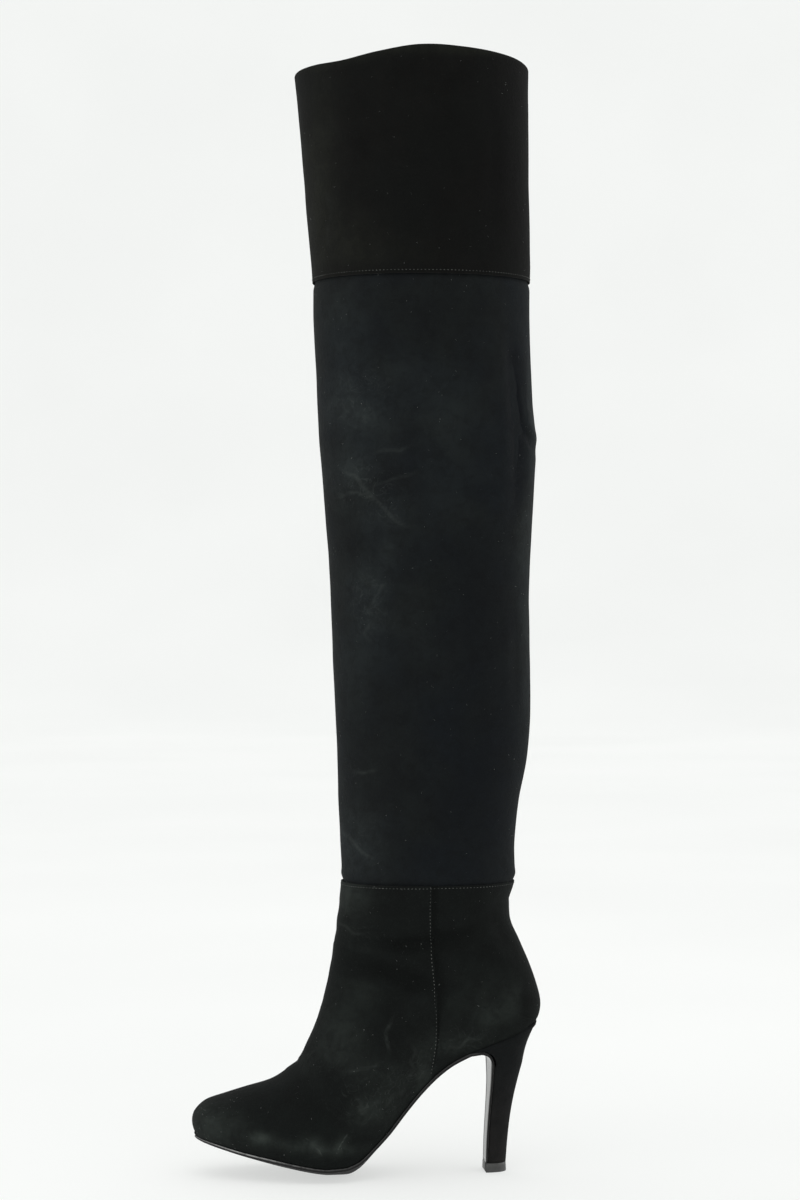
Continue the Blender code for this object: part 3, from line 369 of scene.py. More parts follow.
# Places where fine cracks show in the bent leather
CRINKLES = rows_of(
    PATCH,
    (1, 104, 54, 16, 14, 1.0), (1, 84, 72, 12, 12, 0.9), (1, 50, 89, 20, 8, 0.9), (1, 128, 52, 14, 14, 0.5),
    (1, 146, 76, 16, 8, 0.5), (1, 118, 158, 16, 6, 0.5), (1, 118, 444, 16, 14, 0.9),
    (1, 106, 426, 12, 8, 0.7), (1, 124, 500, 16, 18, 0.8), (1, 115, 372, 10, 22, 0.8),
    (1, 124, 216, 14, 20, 0.6), (1, 126, 262, 12, 8, 0.5), (1, 20, 440, 10, 60, 0.35),
    (-1, 104, 54, 22, 16, 0.8), (-1, 116, 440, 18, 18, 0.8), (-1, 116, 376, 12, 20, 0.7),
)


def place(forward, side, up):
    """A point of the boot in the part's frame: the toe points to -Y and the outer side to +X."""
    return Vector((side, FOOT_LENGTH / 2 - forward, up))


def row_at(table, at):
    """The table's row at a position in its first column, on a smooth curve through the rows."""
    at = min(max(at, table[0][0]), table[-1][0])
    upper = next(i for i in range(1, len(table)) if table[i][0] >= at)
    lower = upper - 1
    width = table[upper][0] - table[lower][0]
    t = (at - table[lower][0]) / width

    def slope(i, column):
        before, after = table[max(i - 1, 0)], table[min(i + 1, len(table) - 1)]
        return (after[column] - before[column]) / (after[0] - before[0])

    values = [at]
    for column in range(1, len(table[0])):
        values.append(
            (2 * t**3 - 3 * t**2 + 1) * table[lower][column]
            + (t**3 - 2 * t**2 + t) * width * slope(lower, column)
            + (3 * t**2 - 2 * t**3) * table[upper][column]
            + (t**3 - t**2) * width * slope(upper, column)
        )
    return type(table[0])(*values)


def bed_height(forward):
    """Height of the sole's upper face along its middle."""
    if forward > TREAD_FRONT:
        share = (forward - TREAD_FRONT) / (FEATHER_TOE - TREAD_FRONT)
        return OUTSOLE_THICKNESS + TOE_SPRING * share**TOE_CURVE
    return OUTSOLE_THICKNESS + SEAT_RISE * max(0.0, row_at(ARCH, forward / FOOT_LENGTH).rise)


def bed_normal(forward):
    """Forward and upward parts of the sole's upward normal."""
    step = 0.0005
    climb = (bed_height(forward + step) - bed_height(forward - step)) / (2 * step)
    length = math.hypot(1, climb)
    return -climb / length, 1 / length


def edge_lift(forward, spread):
    """How far the sole is raised at a share of its half width."""
    share = max(0.0, abs(spread) - FLAT_SHARE) / (1 - FLAT_SHARE)
    station = forward / FOOT_LENGTH
    return (EDGE_LIFT * row_at(CUPPING, station).lift + row_at(CURL, station).lift) * share**1.5


def outline(forward, inset=0.0):
    """Half width and middle of the feather line at a station, drawn in by inset."""
    row = row_at(OUTLINE, forward / FOOT_LENGTH)
    from_back = forward - FEATHER_BACK - inset
    from_toe = FEATHER_TOE - inset - forward
    half = row.half - inset
    if from_back < HEEL_ROUND:
        half *= math.sqrt(max(0.0, 1 - (1 - from_back / HEEL_ROUND) ** 2))
    if from_toe < TOE_ROUND:
        share = min(1.0, 1 - from_toe / TOE_ROUND)
        half *= max(0.0, 1 - share**TOE_POWER) ** (1 / TOE_POWER)
    return max(half, 0.0), row.middle


def seam_forward(height):
    """Where the side seam runs at a height."""
    return FOOT_LENGTH * row_at(SIDE_SEAM, height / ANKLE_SEAM).forward


def leg_ring(height, angles, grow=0.0):
    """Points of the leg's outer form at a height, at angles round from the front towards the outer side."""
    row = row_at(LEG, (height - ANKLE_SEAM) / (COLLAR_HEIGHT - ANKLE_SEAM))
    middle = (row.front + row.back) / 2
    depth, width = (row.front - row.back) / 2 + grow, row.width / 2 + grow
    points = []
    for angle in angles:
        c, s = math.cos(math.radians(angle)), math.sin(math.radians(angle))
        forward = middle + depth * math.copysign(abs(c) ** (2 / RING_POWER), c)
        points.append(place(forward, width * math.copysign(abs(s) ** (2 / RING_POWER), s), height))
    return points


def last_hoop():
    """The fan's last hoop, which is the leg's own ring."""
    row = row_at(LEG, (FAN_TOP - ANKLE_SEAM) / (COLLAR_HEIGHT - ANKLE_SEAM))
    reach = (row.front - row.back) / FOOT_LENGTH
    low, half = row.back / FOOT_LENGTH, row.width / 2
    form = {"widest": 0.5, "top_power": RING_POWER, "low_power": RING_POWER, "turn": 90}
    ends = {"low": low, "climb": 1.0, "reach": reach, "rise": 0.0, "half": half, "crest": 0.0}
    return HOOPS[-1]._replace(number=LEG_HOOP, **ends, **form)


ALL_HOOPS = HOOPS + (last_hoop(),)


def hoop_point(number, angle):
    """A point of the foot's outer form, on hoop number, at an angle round from the top to the outer side."""
    hoop = row_at(ALL_HOOPS, number)
    low = hoop.low * FOOT_LENGTH
    curl = row_at(CURL, hoop.low).lift
    if number < CLOSING_HOOP:
        feather, middle = outline(low)
        ahead = min(max(LAST_VAMP_HOOP + 1 - number, 0.0), 1.0)
        lift = edge_lift(low, 1) - curl + 1.2 * GAP + PANEL_STEP * ahead
        normal = bed_normal(low)
        low, up = low + normal[0] * lift, bed_height(low) + normal[1] * lift
    else:
        feather, middle, normal = 0.0, 0.0, (0.0, 1.0)
        start = bed_height(FEATHER_BACK) + GAP
        up = start + max(0.0, hoop.climb) * (FAN_TOP - start)
    round_angle = math.radians(abs(angle))
    crest = hoop.crest * BALL_WIDTH
    if abs(angle) <= 90:
        out = hoop.half * max(0.0, math.sin(round_angle)) ** (2 / hoop.top_power)
        along = hoop.widest * (1 - max(0.0, math.cos(round_angle)) ** (2 / hoop.top_power))
        middle += (crest - middle) * math.cos(round_angle) ** 2
    else:
        turn = math.radians(min(hoop.turn, 90.0))
        angle_under = (round_angle - math.pi / 2) / (math.pi / 2) * turn
        power = 2 / hoop.low_power
        end = max(0.0, math.cos(turn)) ** power if turn < math.pi / 2 - 1e-6 else 0.0
        share = (max(0.0, math.cos(angle_under)) ** power - end) / (1 - end)
        out = feather + (hoop.half - feather) * max(0.0, share)
        along = hoop.widest + (1 - hoop.widest) * (math.sin(angle_under) / math.sin(turn)) ** power
    bent = curl * max(0.0, along) ** 3
    forward = low + hoop.reach * FOOT_LENGTH * (1 - along) + normal[0] * bent
    height = up + hoop.rise * INSTEP_RISE * (1 - along) + normal[1] * bent
    return forward, middle + math.copysign(out, angle), height


def seam_angle(point_at):
    """The angle at which a hoop crosses the side seam, or 180 where it lies wholly in front of it."""

    def ahead(angle):
        forward, _, height = point_at(angle)
        return forward - seam_forward(height)

    if ahead(180.0) >= 0:
        return 180.0
    front, back = 30.0, 180.0
    for _ in range(40):
        middle = (front + back) / 2
        front, back = (middle, back) if ahead(middle) > 0 else (front, middle)
    return (front + back) / 2


def ring_point(height):
    """The leg's form at a height, as a function of the angle that gives what hoop_point gives."""

    def at(angle):
        point = leg_ring(height, [angle])[0]
        return FOOT_LENGTH / 2 - point.y, point.x, height

    return at


# Mesh fineness of the suede: cells on each side before and behind the side seam, rows to a hoop, and rows
# and columns of leg and cuff
VAMP_CELLS = 48
QUARTER_CELLS = 26
ROWS_A_HOOP = 7
LEG_ROWS = 240
CUFF_ROWS = 80
LEG_COLUMNS = 240
LINING_ROWS = 40


def nearest_on(points, line):
    """Distance in mm from each point (forward, up) to a line, and how far along it the nearest place is."""
    best = np.full(len(points), 1e9)
    along = np.zeros(len(points))
    corners = np.array(line, dtype=float)
    lengths = np.hypot(*(corners[1:] - corners[:-1]).T)
    done = 0.0
    for start, end, length in zip(corners[:-1], corners[1:], lengths):
        step = end - start
        t = np.clip(((points - start) @ step) / (step @ step), 0, 1)
        distance = np.hypot(*(points - start - t[:, None] * step).T)
        nearer = distance < best
        best[nearer] = distance[nearer]
        along[nearer] = (done + t[nearer] * length) / lengths.sum()
        done += length
    return best, along


def side_share(sides, side, softness_mm):
    """1 on the named side of the boot and 0 on the other, soft over the front and back edges."""
    return 1 / (1 + np.exp(np.clip(-side * sides * 1000 / softness_mm, -40, 40)))


def unevenness(points, size, seed):
    """Smooth noise between -1 and 1 at each point, with waves of about size in metres."""
    return np.array([noise.noise(Vector(p) / size + Vector((seed, 2.7 * seed, 0))) for p in points])


# How far a crease's pale line reaches in mm, how much thinner a scratch is, and how soft creases and patches
# end at the boot's front and back in mm
LINE_REACH = 12
SCRATCH_THINNESS = 2.6
CREASE_END = 2.5
PATCH_END = 7.0


def worked(grid, creases, patches, swell):
    """How a grid of suede rises and wears: its rise along the normal in mm, and numbers for the nap.

    The first number, for wear and painted light, is pale above nought, where the nap is worn and where
    highlights and rim light are painted, and dark below, where shade is painted into troughs and patches.
    near_mm is LINE_REACH less the distance in mm to the nearest pale line, and falls faster beside a thin
    scratch. line_amount is how strong that line is, and crinkle is how cracked the leather is.
    """
    points = grid.reshape(-1, 3)
    flat = np.column_stack([(FOOT_LENGTH / 2 - points[:, 1]) * 1000, points[:, 2] * 1000])
    wander = np.column_stack([unevenness(points, 0.008, 5), unevenness(points, 0.008, 9)])
    flat_here = flat + wander * 1.1
    rise = swell * (unevenness(points, 0.050, 1) + 0.35 * unevenness(points, 0.018, 2))
    worn = np.zeros(len(points))
    near = np.zeros(len(points))
    amount = np.zeros(len(points))
    for crease in creases:
        distance, along = nearest_on(flat_here, crease.line)
        taper = np.sin(np.pi * np.clip(along, 0.02, 0.98)) ** 0.6
        taper *= side_share(points[:, 0], crease.side, CREASE_END)
        trough = np.exp(-((distance / crease.width) ** 2))
        lips = np.exp(-(((distance - 1.7 * crease.width) / crease.width) ** 2))
        rise -= crease.depth * taper * (trough - 0.35 * lips)
        # Painted shade: each trough darkens the nap by its depth, less where the crease is rubbed pale.
        worn -= 0.35 * max(0.0, crease.depth) * taper * trough * (1 - crease.pale)
        if crease.pale:
            closeness = LINE_REACH - distance * (1.0 if crease.depth else SCRATCH_THINNESS)
            nearer = closeness > near
            near[nearer] = closeness[nearer]
            amount[nearer] = (crease.pale * taper)[nearer]
            worn += 0.22 * crease.pale * taper * np.exp(-((distance / 3.2) ** 2))
    crinkle = np.zeros(len(points))
    # Patches add wear, painted highlights and painted rim light above nought, and painted shade below it;
    # crinkles are cracks.
    for patch, values in [(patch, worn) for patch in patches] + [(patch, crinkle) for patch in CRINKLES]:
        away = ((flat_here[:, 0] - patch.forward) / patch.reach) ** 2
        away += ((flat_here[:, 1] - patch.up) / patch.height) ** 2
        values += patch.amount * side_share(points[:, 0], patch.side, PATCH_END) * np.exp(-away)
    numbers = {"worn": worn, "near_mm": near, "line_amount": amount, "crinkle": crinkle}
    return rise.reshape(grid.shape[:2]), {key: v.reshape(grid.shape[:2]) for key, v in numbers.items()}


def grid_normals(grid, closed):
    """Outward normals of a grid whose columns may close into rings."""
    if closed:
        wide = np.concatenate([grid[:, -2:-1], grid, grid[:, 1:2]], axis=1)
        columns = np.gradient(wide, axis=1)[:, 1:-1]
    else:
        columns = np.gradient(grid, axis=1)
    normals = np.cross(columns, np.gradient(grid, axis=0))
    length = np.linalg.norm(normals, axis=2)
    good = length > 1e-11
    normals[good] /= length[good][:, None]
    middle = grid.shape[1] // 2
    for row in range(len(grid)):
        for run in (range(middle, grid.shape[1]), range(middle, -1, -1)):
            last = np.array((0.0, -1.0, 0.0)) if not good[row, middle] else normals[row, middle]
            for column in run:
                if good[row, column]:
                    last = normals[row, column]
                else:
                    normals[row, column] = last
    return normals


def grid_faces(rows, columns, start=0, turned=False, closed_rows=False):
    """Faces of a grid of points numbered from start, row by row."""
    faces = []
    for row in range(rows if closed_rows else rows - 1):
        this, after = start + row * columns, start + (row + 1) % rows * columns
        for c in range(columns - 1):
            face = (this + c, this + c + 1, after + c + 1, after + c)
            faces.append(face[::-1] if turned else face)
    return faces


def mesh_piece(name, points, faces, material, attributes=None):
    """A smooth mesh at the origin, with doubled points joined and its numbers kept as attributes."""
    mesh = bpy.data.meshes.new(name)
    mesh.from_pydata([tuple(p) for p in points], [], faces)
    for key, values in (attributes or {}).items():
        layer = mesh.attributes.new(key, "FLOAT", "POINT")
        layer.data.foreach_set("value", np.asarray(values, dtype=np.float32).ravel())
    work = bmesh.new()
    work.from_mesh(mesh)
    bmesh.ops.remove_doubles(work, verts=work.verts, dist=0.000003)
    bmesh.ops.dissolve_degenerate(work, edges=work.edges, dist=0.000001)
    work.to_mesh(mesh)
    work.free()
    mesh.shade_smooth()
    mesh.materials.append(material)
    piece = bpy.data.objects.new(name, mesh)
    bpy.context.scene.collection.objects.link(piece)
    return piece


def linear(code):
    """An sRGB hex colour as linear red, green, blue and alpha."""
    values = [int(code[i : i + 2], 16) / 255 for i in (1, 3, 5)]
    return tuple(v / 12.92 if v <= 0.04045 else ((v + 0.055) / 1.055) ** 2.4 for v in values) + (1.0,)


def add(tree, kind, inputs=None, output=None, **settings):
    """Adds a node with its settings, sets or links its inputs, and returns one of its outputs."""
    node = tree.nodes.new(kind)
    for key, value in settings.items():
        setattr(node, key, value)

    def socket(sockets, key):
        if isinstance(key, int):
            return sockets[key]
        return next(s for s in sockets if s.name == key and s.enabled)

    for key, value in (inputs or {}).items():
        into = socket(node.inputs, key)
        if isinstance(value, bpy.types.NodeSocket):
            tree.links.new(value, into)
        else:
            into.default_value = value
    if output is not None:
        return socket(node.outputs, output)
    return next((s for s in node.outputs if s.enabled), None)


def add_rows(tree, given, kind, columns, rows, output=None):
    """Adds a node for each row, and keeps its output in given under the row's first value.

    The row's other values go to the columns, which are inputs, or settings where their names are in lower
    case. An input's value that names an output in given is linked to it.
    """
    for key, *values in rows:
        inputs, settings = {}, {}
        for column, value in zip(columns, values):
            if isinstance(column, str) and column.islower():
                settings[column] = value
            else:
                inputs[column] = given.get(value, value)
        given[key] = add(tree, kind, inputs, output, **settings)


NOISE = ("Vector", "Scale", "Detail", "Roughness", "Distortion")
RANGE = ("Value", "From Min", "From Max", "To Min", "To Max")
MATHS = ("operation", 0, 1, 2)


def blank_material(name):
    """A material with an empty tree."""
    material = bpy.data.materials.new(name)
    material.use_nodes = True
    material.node_tree.nodes.clear()
    return material, material.node_tree


def end_material(tree, first, layers, relief, surface):
    """Ends a material: a first tone with others laid over it by their shares, a relief, and the surface.

    relief is a height, its distance in metres and its strength.
    """
    colour = linear(first)
    for share, tone in layers:
        mix = {"Factor": share, "A": colour, "B": linear(tone)}
        colour = add(tree, "ShaderNodeMix", mix, data_type="RGBA")
    inputs = {"Base Color": colour, **surface}
    if relief:
        height, distance, strength = relief
        bump = {"Height": height, "Distance": distance, "Strength": strength}
        inputs["Normal"] = add(tree, "ShaderNodeBump", bump)
    if "Emission Strength" in surface:
        inputs["Emission Color"] = colour
    add(tree, "ShaderNodeOutputMaterial", {"Surface": add(tree, "ShaderNodeBsdfPrincipled", inputs)})


def suede(name, deep, mid, cool, shade_and_seam_tone, worn_to, sheen):
    """Black kid suede: a brushed nap, deep and matt, turning grey where rubbed or bent, with painted shade
    and highlights.

    Drifts of about 60 mm and blotches of about 18 mm are where the nap lies one way or the other, strokes of
    about 6 mm are where it was brushed, and fine pale cracks meander where the leather has been bent. The
    nap's own grain is drawn at 1 mm, coarser than its real 0.3 mm so that it shows.
    """
    material, tree = blank_material(name)
    given = {"at": add(tree, "ShaderNodeTexCoord", output="Object")}
    noises = (
        ("drift", "at", 17.0, 3.0),
        ("blotch", "at", 55.0, 6.0, 0.66),
        ("stroke", "at", 170.0, 5.0, 0.5, 0.9),
        ("nap", "at", 1000.0, 2.0, 0.7),
        ("meander", "at", 95.0, 3.0, 0.5, 1.6),
    )
    add_rows(tree, given, "ShaderNodeTexNoise", NOISE, noises, "Fac")
    numbers = [(key, key) for key in ("worn", "near_mm", "line_amount", "crinkle", "cut_edge")]
    add_rows(tree, given, "ShaderNodeAttribute", ("attribute_name",), numbers, "Fac")
    heights = (
        ("meander", "SUBTRACT", "meander", 0.5),
        ("crack", "ABSOLUTE", "meander"),
        ("broken", "MULTIPLY", "stroke", "blotch"),
        ("wobble", "MULTIPLY_ADD", "stroke", -1.6, "near_mm"),
        ("height", "MULTIPLY_ADD", "stroke", 1.5, "nap"),
    )
    add_rows(tree, given, "ShaderNodeMath", MATHS, heights)
    ranges = (
        ("lay", "blotch", 0.34, 0.70),
        ("cool", "drift", 0.40, 0.62, 0.0, 0.6),
        ("brushed", "stroke", 0.56, 0.30, 0.0, 0.35),
        ("broken", "broken", 0.15, 0.34, 0.45),
        ("rubbed", "worn", 0.0, 1.1),
        ("sunk", "worn", 0.0, -0.9, 0.0, 0.72),
        ("line", "wobble", 9.6, 11.3, 0.0, 0.27),
        ("thin", "crack", 0.020, 0.0, 0.0, 0.15),
        ("speck", "nap", 0.58, 0.80, 0.0, 0.25),
        ("raw", "cut_edge", 0.5, 0.9, 0.0, 0.38),
        ("rough", "worn", 0.5, 1.4, 0.95, 0.55),
    )
    add_rows(tree, given, "ShaderNodeMapRange", RANGE, ranges)
    shares = (
        ("rubbed", "MULTIPLY", "rubbed", "broken"),
        ("line", "MULTIPLY", "line", "line_amount"),
        ("thin", "MULTIPLY", "thin", "crinkle"),
        ("line", "MAXIMUM", "line", "thin"),
        ("line", "MULTIPLY", "line", "broken"),
        ("raw", "MULTIPLY", "raw", "broken"),
    )
    add_rows(tree, given, "ShaderNodeMath", MATHS, shares)
    layers = (
        ("lay", mid),
        ("cool", cool),
        ("brushed", "#0B0C0C"),
        # Pale where the wear number is above nought: worn nap, painted highlights and painted rim light.
        ("rubbed", worn_to),
        # Dark where it is below nought: painted shade in creases, in dark patches and beside the side seam,
        # and the darker back seam.
        ("sunk", shade_and_seam_tone),
        ("line", "#626864"),
        ("speck", worn_to),
        ("raw", "#6A6B68"),
    )
    surface = {
        "Roughness": given["rough"],
        "Specular IOR Level": 0.10,
        "Sheen Weight": sheen,
        "Sheen Roughness": 0.35,
        "Sheen Tint": linear("#C4CAC8"),
    }
    relief = (given["height"], 0.0005, 0.6)
    end_material(tree, deep, [(given[key], tone) for key, tone in layers], relief, surface)
    return material


def sole_leather_finish():
    """Dyed sole leather: glossy down the breast, waxed at its edges, with a painted highlight along its upper
    edge, dull underneath.

    Its pores are drawn at about 1 mm, coarser than the real 0.2 mm so that they show.
    """
    material, tree = blank_material("polished_sole_leather")
    given = {"at": add(tree, "ShaderNodeTexCoord", output="Object")}
    add_rows(tree, given, "ShaderNodeTexVoronoi", NOISE[:2], [("pores", "at", 900.0)], "Distance")
    noises = (("cloud", "at", 60.0, 4.0), ("scuff", "at", 260.0, 4.0, 0.5, 1.0))
    add_rows(tree, given, "ShaderNodeTexNoise", NOISE, noises, "Fac")
    numbers = [(key, key) for key in ("rim", "tread", "polish")]
    add_rows(tree, given, "ShaderNodeAttribute", ("attribute_name",), numbers, "Fac")
    ranges = (
        ("cloud", "cloud", 0.35, 0.7),
        ("rubbed", "scuff", 0.5, 0.75, 0.0, 0.35),
        ("pale", "scuff", 0.35, 0.55, 0.45),
        ("rough", "polish", 0.0, 1.0, 0.80, 0.12),
    )
    add_rows(tree, given, "ShaderNodeMapRange", RANGE, ranges)
    shares = (("rubbed", "MULTIPLY", "rubbed", "tread"), ("pale", "MULTIPLY", "pale", "rim"))
    add_rows(tree, given, "ShaderNodeMath", MATHS, shares)
    # The third layer is a painted highlight: a pale tone along the sole's upper edge, where the rim attribute
    # is set.
    layers = ((given["cloud"], "#151414"), (given["rubbed"], "#2A2826"), (given["pale"], "#A2A2A1"))
    surface = {"Roughness": given["rough"], "Specular IOR Level": 0.22}
    end_material(tree, "#0D0D0D", layers, (given["pores"], 0.00005, 0.25), surface)
    return material


def plain_finish(name, tones, cloud, grain, relief, roughness):
    """A material whose shade drifts between two tones over a fine relief.

    cloud is the drift's scale, detail and upper end. grain is the relief's node, output and scale, and relief
    its distance in metres and its strength.
    """
    material, tree = blank_material(name)
    at = add(tree, "ShaderNodeTexCoord", output="Object")
    drift = add(tree, "ShaderNodeTexNoise", {"Vector": at, "Scale": cloud[0], "Detail": cloud[1]}, "Fac")
    share = add(tree, "ShaderNodeMapRange", {"Value": drift, "From Min": 0.35, "From Max": cloud[2]})
    height = add(tree, grain[0], {"Vector": at, "Scale": grain[2]}, grain[1])
    end_material(tree, tones[0], [(share, tones[1])], (height, *relief), {"Roughness": roughness})
    return material


def seam_angles(seam):
    """Angles of half a hoop, close together at the side seam, and which of them are the vamp's."""
    fore = [seam * i / VAMP_CELLS for i in range(VAMP_CELLS)] + [seam - 0.35, seam]
    aft = [min(seam + step, 180.0) for step in (0.3, 1.2)]
    start = aft[-1]
    aft += [start + (180.0 - start) * i / QUARTER_CELLS for i in range(1, QUARTER_CELLS + 1)]
    return sorted(fore) + aft


def lasted_edge(number, side):
    """Where the upper's lower edge meets the sole, and where it turns in under the insole."""
    low = row_at(ALL_HOOPS, number).low * FOOT_LENGTH
    half, middle = outline(low)
    lift = edge_lift(low, 1) - 0.0002
    normal = bed_normal(low)
    base = (low + normal[0] * lift, bed_height(low) + normal[1] * lift)
    return [place(base[0], middle + side * max(half - inward, 0.0), base[1]) for inward in (-0.0002, 0.0015)]


# Where the foot's creases fade out: rows from the toe's tip, and metres from the feather line and from the
# ankle's edge
TOE_FADE_ROWS = 14
FEATHER_FADE = 0.006
ANKLE_FADE = 0.008


def foot_grid():
    """Points of the foot row by row, closer at the toe's tip, and each row's inner and outer seam."""
    numbers = [0.06 * i**1.35 for i in range(9)]
    while numbers[-1] < LEG_HOOP - 1 / ROWS_A_HOOP:
        numbers.append(numbers[-1] + 1 / ROWS_A_HOOP)
    numbers.append(float(LEG_HOOP))
    shares = (0.14, 0.3, 0.46, 0.62, 0.78, 0.91, 0.97, 1.0)
    heights = [FAN_TOP + (ANKLE_SEAM - FAN_TOP) * share for share in shares]
    hoops = [(number, partial(hoop_point, number)) for number in numbers]
    hoops += [(float(LEG_HOOP), ring_point(height)) for height in heights]
    rows, seams = [], []
    for number, point_at in hoops:
        outer = seam_angle(point_at)
        inner = seam_angle(lambda angle, p=point_at: p(-angle))
        half_out, half_in = seam_angles(outer), seam_angles(inner)
        row = [place(*point_at(-angle)) for angle in reversed(half_in)]
        row += [place(*point_at(angle)) for angle in half_out[1:]]
        if number < CLOSING_HOOP:
            ends = [lasted_edge(number, -1), lasted_edge(number, 1)]
        else:
            ends = [[row[0]] * 2, [row[-1]] * 2]
        rows.append(ends[0][::-1] + row + ends[1])
        seams.append((inner, outer))
    return np.array(rows), seams


def build_foot(material):
    """The foot's suede: vamp and quarters, with the vamp's cut edge lapped over the quarters."""
    grid, seams = foot_grid()
    body = grid[:, 2:-2]
    normals = grid_normals(body, False)
    closed = np.linalg.norm(body[:, 0] - body[:, -1], axis=1) < 1e-5
    both = normals[closed, 0] + normals[closed, -1]
    both /= np.maximum(np.linalg.norm(both, axis=1), 1e-9)[:, None]
    normals[closed, 0] = normals[closed, -1] = both
    rise, numbers_of = worked(body, FOOT_CREASES + FOOT_SCRATCHES, FOOT_PATCHES, 0.25)
    toe = np.clip(np.arange(len(grid)) / TOE_FADE_ROWS, 0, 1)[:, None]
    arc = np.cumsum(np.linalg.norm(np.diff(body, axis=1), axis=2), axis=1)
    from_start = np.concatenate([np.zeros((len(body), 1)), arc], axis=1)
    to_end = from_start[:, -1:] - from_start
    near = np.clip(np.minimum(from_start, to_end) / FEATHER_FADE, 0, 1)
    near[closed] = 1
    top = np.clip((ANKLE_SEAM - body[:, :, 2]) / ANKLE_FADE, 0, 1)
    rise = rise * toe * near * (0.25 + 0.75 * top)
    middle = body.shape[1] // 2
    side_cells = np.abs(np.arange(body.shape[1]) - middle)
    vamp = (side_cells <= VAMP_CELLS + 1).astype(float)[None, :]
    rise = rise + vamp * PANEL_STEP * 1000
    real = np.array([[inner < 179.9] * middle + [outer < 179.9] * (middle + 1) for inner, outer in seams])
    # Painted shade: the two columns just behind the vamp's lapped edge are darkened where its shadow falls on
    # the quarter.
    behind = np.isin(side_cells, (VAMP_CELLS + 2, VAMP_CELLS + 3))[None, :] * real
    numbers_of["worn"] -= 0.9 * behind
    outer_wall = body + normals * (rise / 1000)[:, :, None]
    inner_wall = body - normals * (UPPER_WALL - 0.0003)
    for wall in (outer_wall, inner_wall):
        wall[closed, 0] = wall[closed, -1] = (wall[closed, 0] + wall[closed, -1]) / 2
    points = np.concatenate([grid[:, :2], outer_wall, grid[:, -2:]], axis=1)
    inside = np.concatenate([grid[:, :1]] * 2 + [inner_wall] + [grid[:, -1:]] * 2, axis=1)
    shape = points.shape[:2]

    def spread(values):
        wide = np.concatenate([values[:, :1]] * 2 + [values] + [values[:, -1:]] * 2, axis=1)
        return np.concatenate([wide.ravel(), np.zeros(wide.size)])

    top_edge = np.zeros(body.shape[:2])
    top_edge[-1] = 0.56
    forward = (FOOT_LENGTH / 2 - body[:, :, 1]) / FOOT_LENGTH
    numbers_of["cut_edge"] = top_edge
    numbers_of["lint"] = 0.5 + 2.0 * np.clip((forward - 0.8) / 0.15, 0, 1)
    attributes = {key: spread(values) for key, values in numbers_of.items()}
    count = shape[0] * shape[1]
    faces = grid_faces(shape[0], shape[1]) + grid_faces(shape[0], shape[1], count, True)
    last = (shape[0] - 1) * shape[1]
    faces += [(last + c, last + c + 1, count + last + c + 1, count + last + c) for c in range(shape[1] - 1)]
    both_walls = np.concatenate([points.reshape(-1, 3), inside.reshape(-1, 3)])
    return mesh_piece("foot_suede", both_walls, faces, material, attributes)


def ring_grid(heights, grow_of, wave=False):
    """Rings of the leg at heights, all round from the back over the inner side, front and outer side."""
    angles = [-180 + 360 * i / LEG_COLUMNS for i in range(LEG_COLUMNS + 1)]
    waves = [COLLAR_WAVE * row_at(COLLAR, abs(angle)).wave for angle in angles]
    rows = []
    for height in heights:
        share = max(0.0, (height - KNEE_SEAM) / CUFF_LENGTH) ** 3 if wave else 0.0
        row = [leg_ring(height + share * up, [angle], grow_of(height))[0] for angle, up in zip(angles, waves)]
        rows.append(row)
    return np.array(rows)


def leg_draw(height):
    """How far the leg's suede is drawn in by the seams at its ends."""
    ankle = (SKIVED_EDGE + GAP) * max(0.0, 1 - max(0.0, height - ANKLE_SEAM) / SEAM_EASE) ** 1.5
    knee = (CUFF_EDGE + 2 * GAP) * max(0.0, 1 - max(0.0, KNEE_SEAM - height) / SEAM_EASE) ** 1.5
    return -max(ankle, knee)


def back_seam():
    """1 in the two columns that meet at the leg's back seam, and 0 in the others."""
    columns = np.arange(LEG_COLUMNS + 1)
    return (np.abs(columns - LEG_COLUMNS / 2) == LEG_COLUMNS / 2)[None, :]


def with_hidden(numbers_of, hidden):
    """The outside's numbers for the nap, each followed by noughts for the hidden points."""
    return {key: np.concatenate([values.ravel(), np.zeros(hidden)]) for key, values in numbers_of.items()}


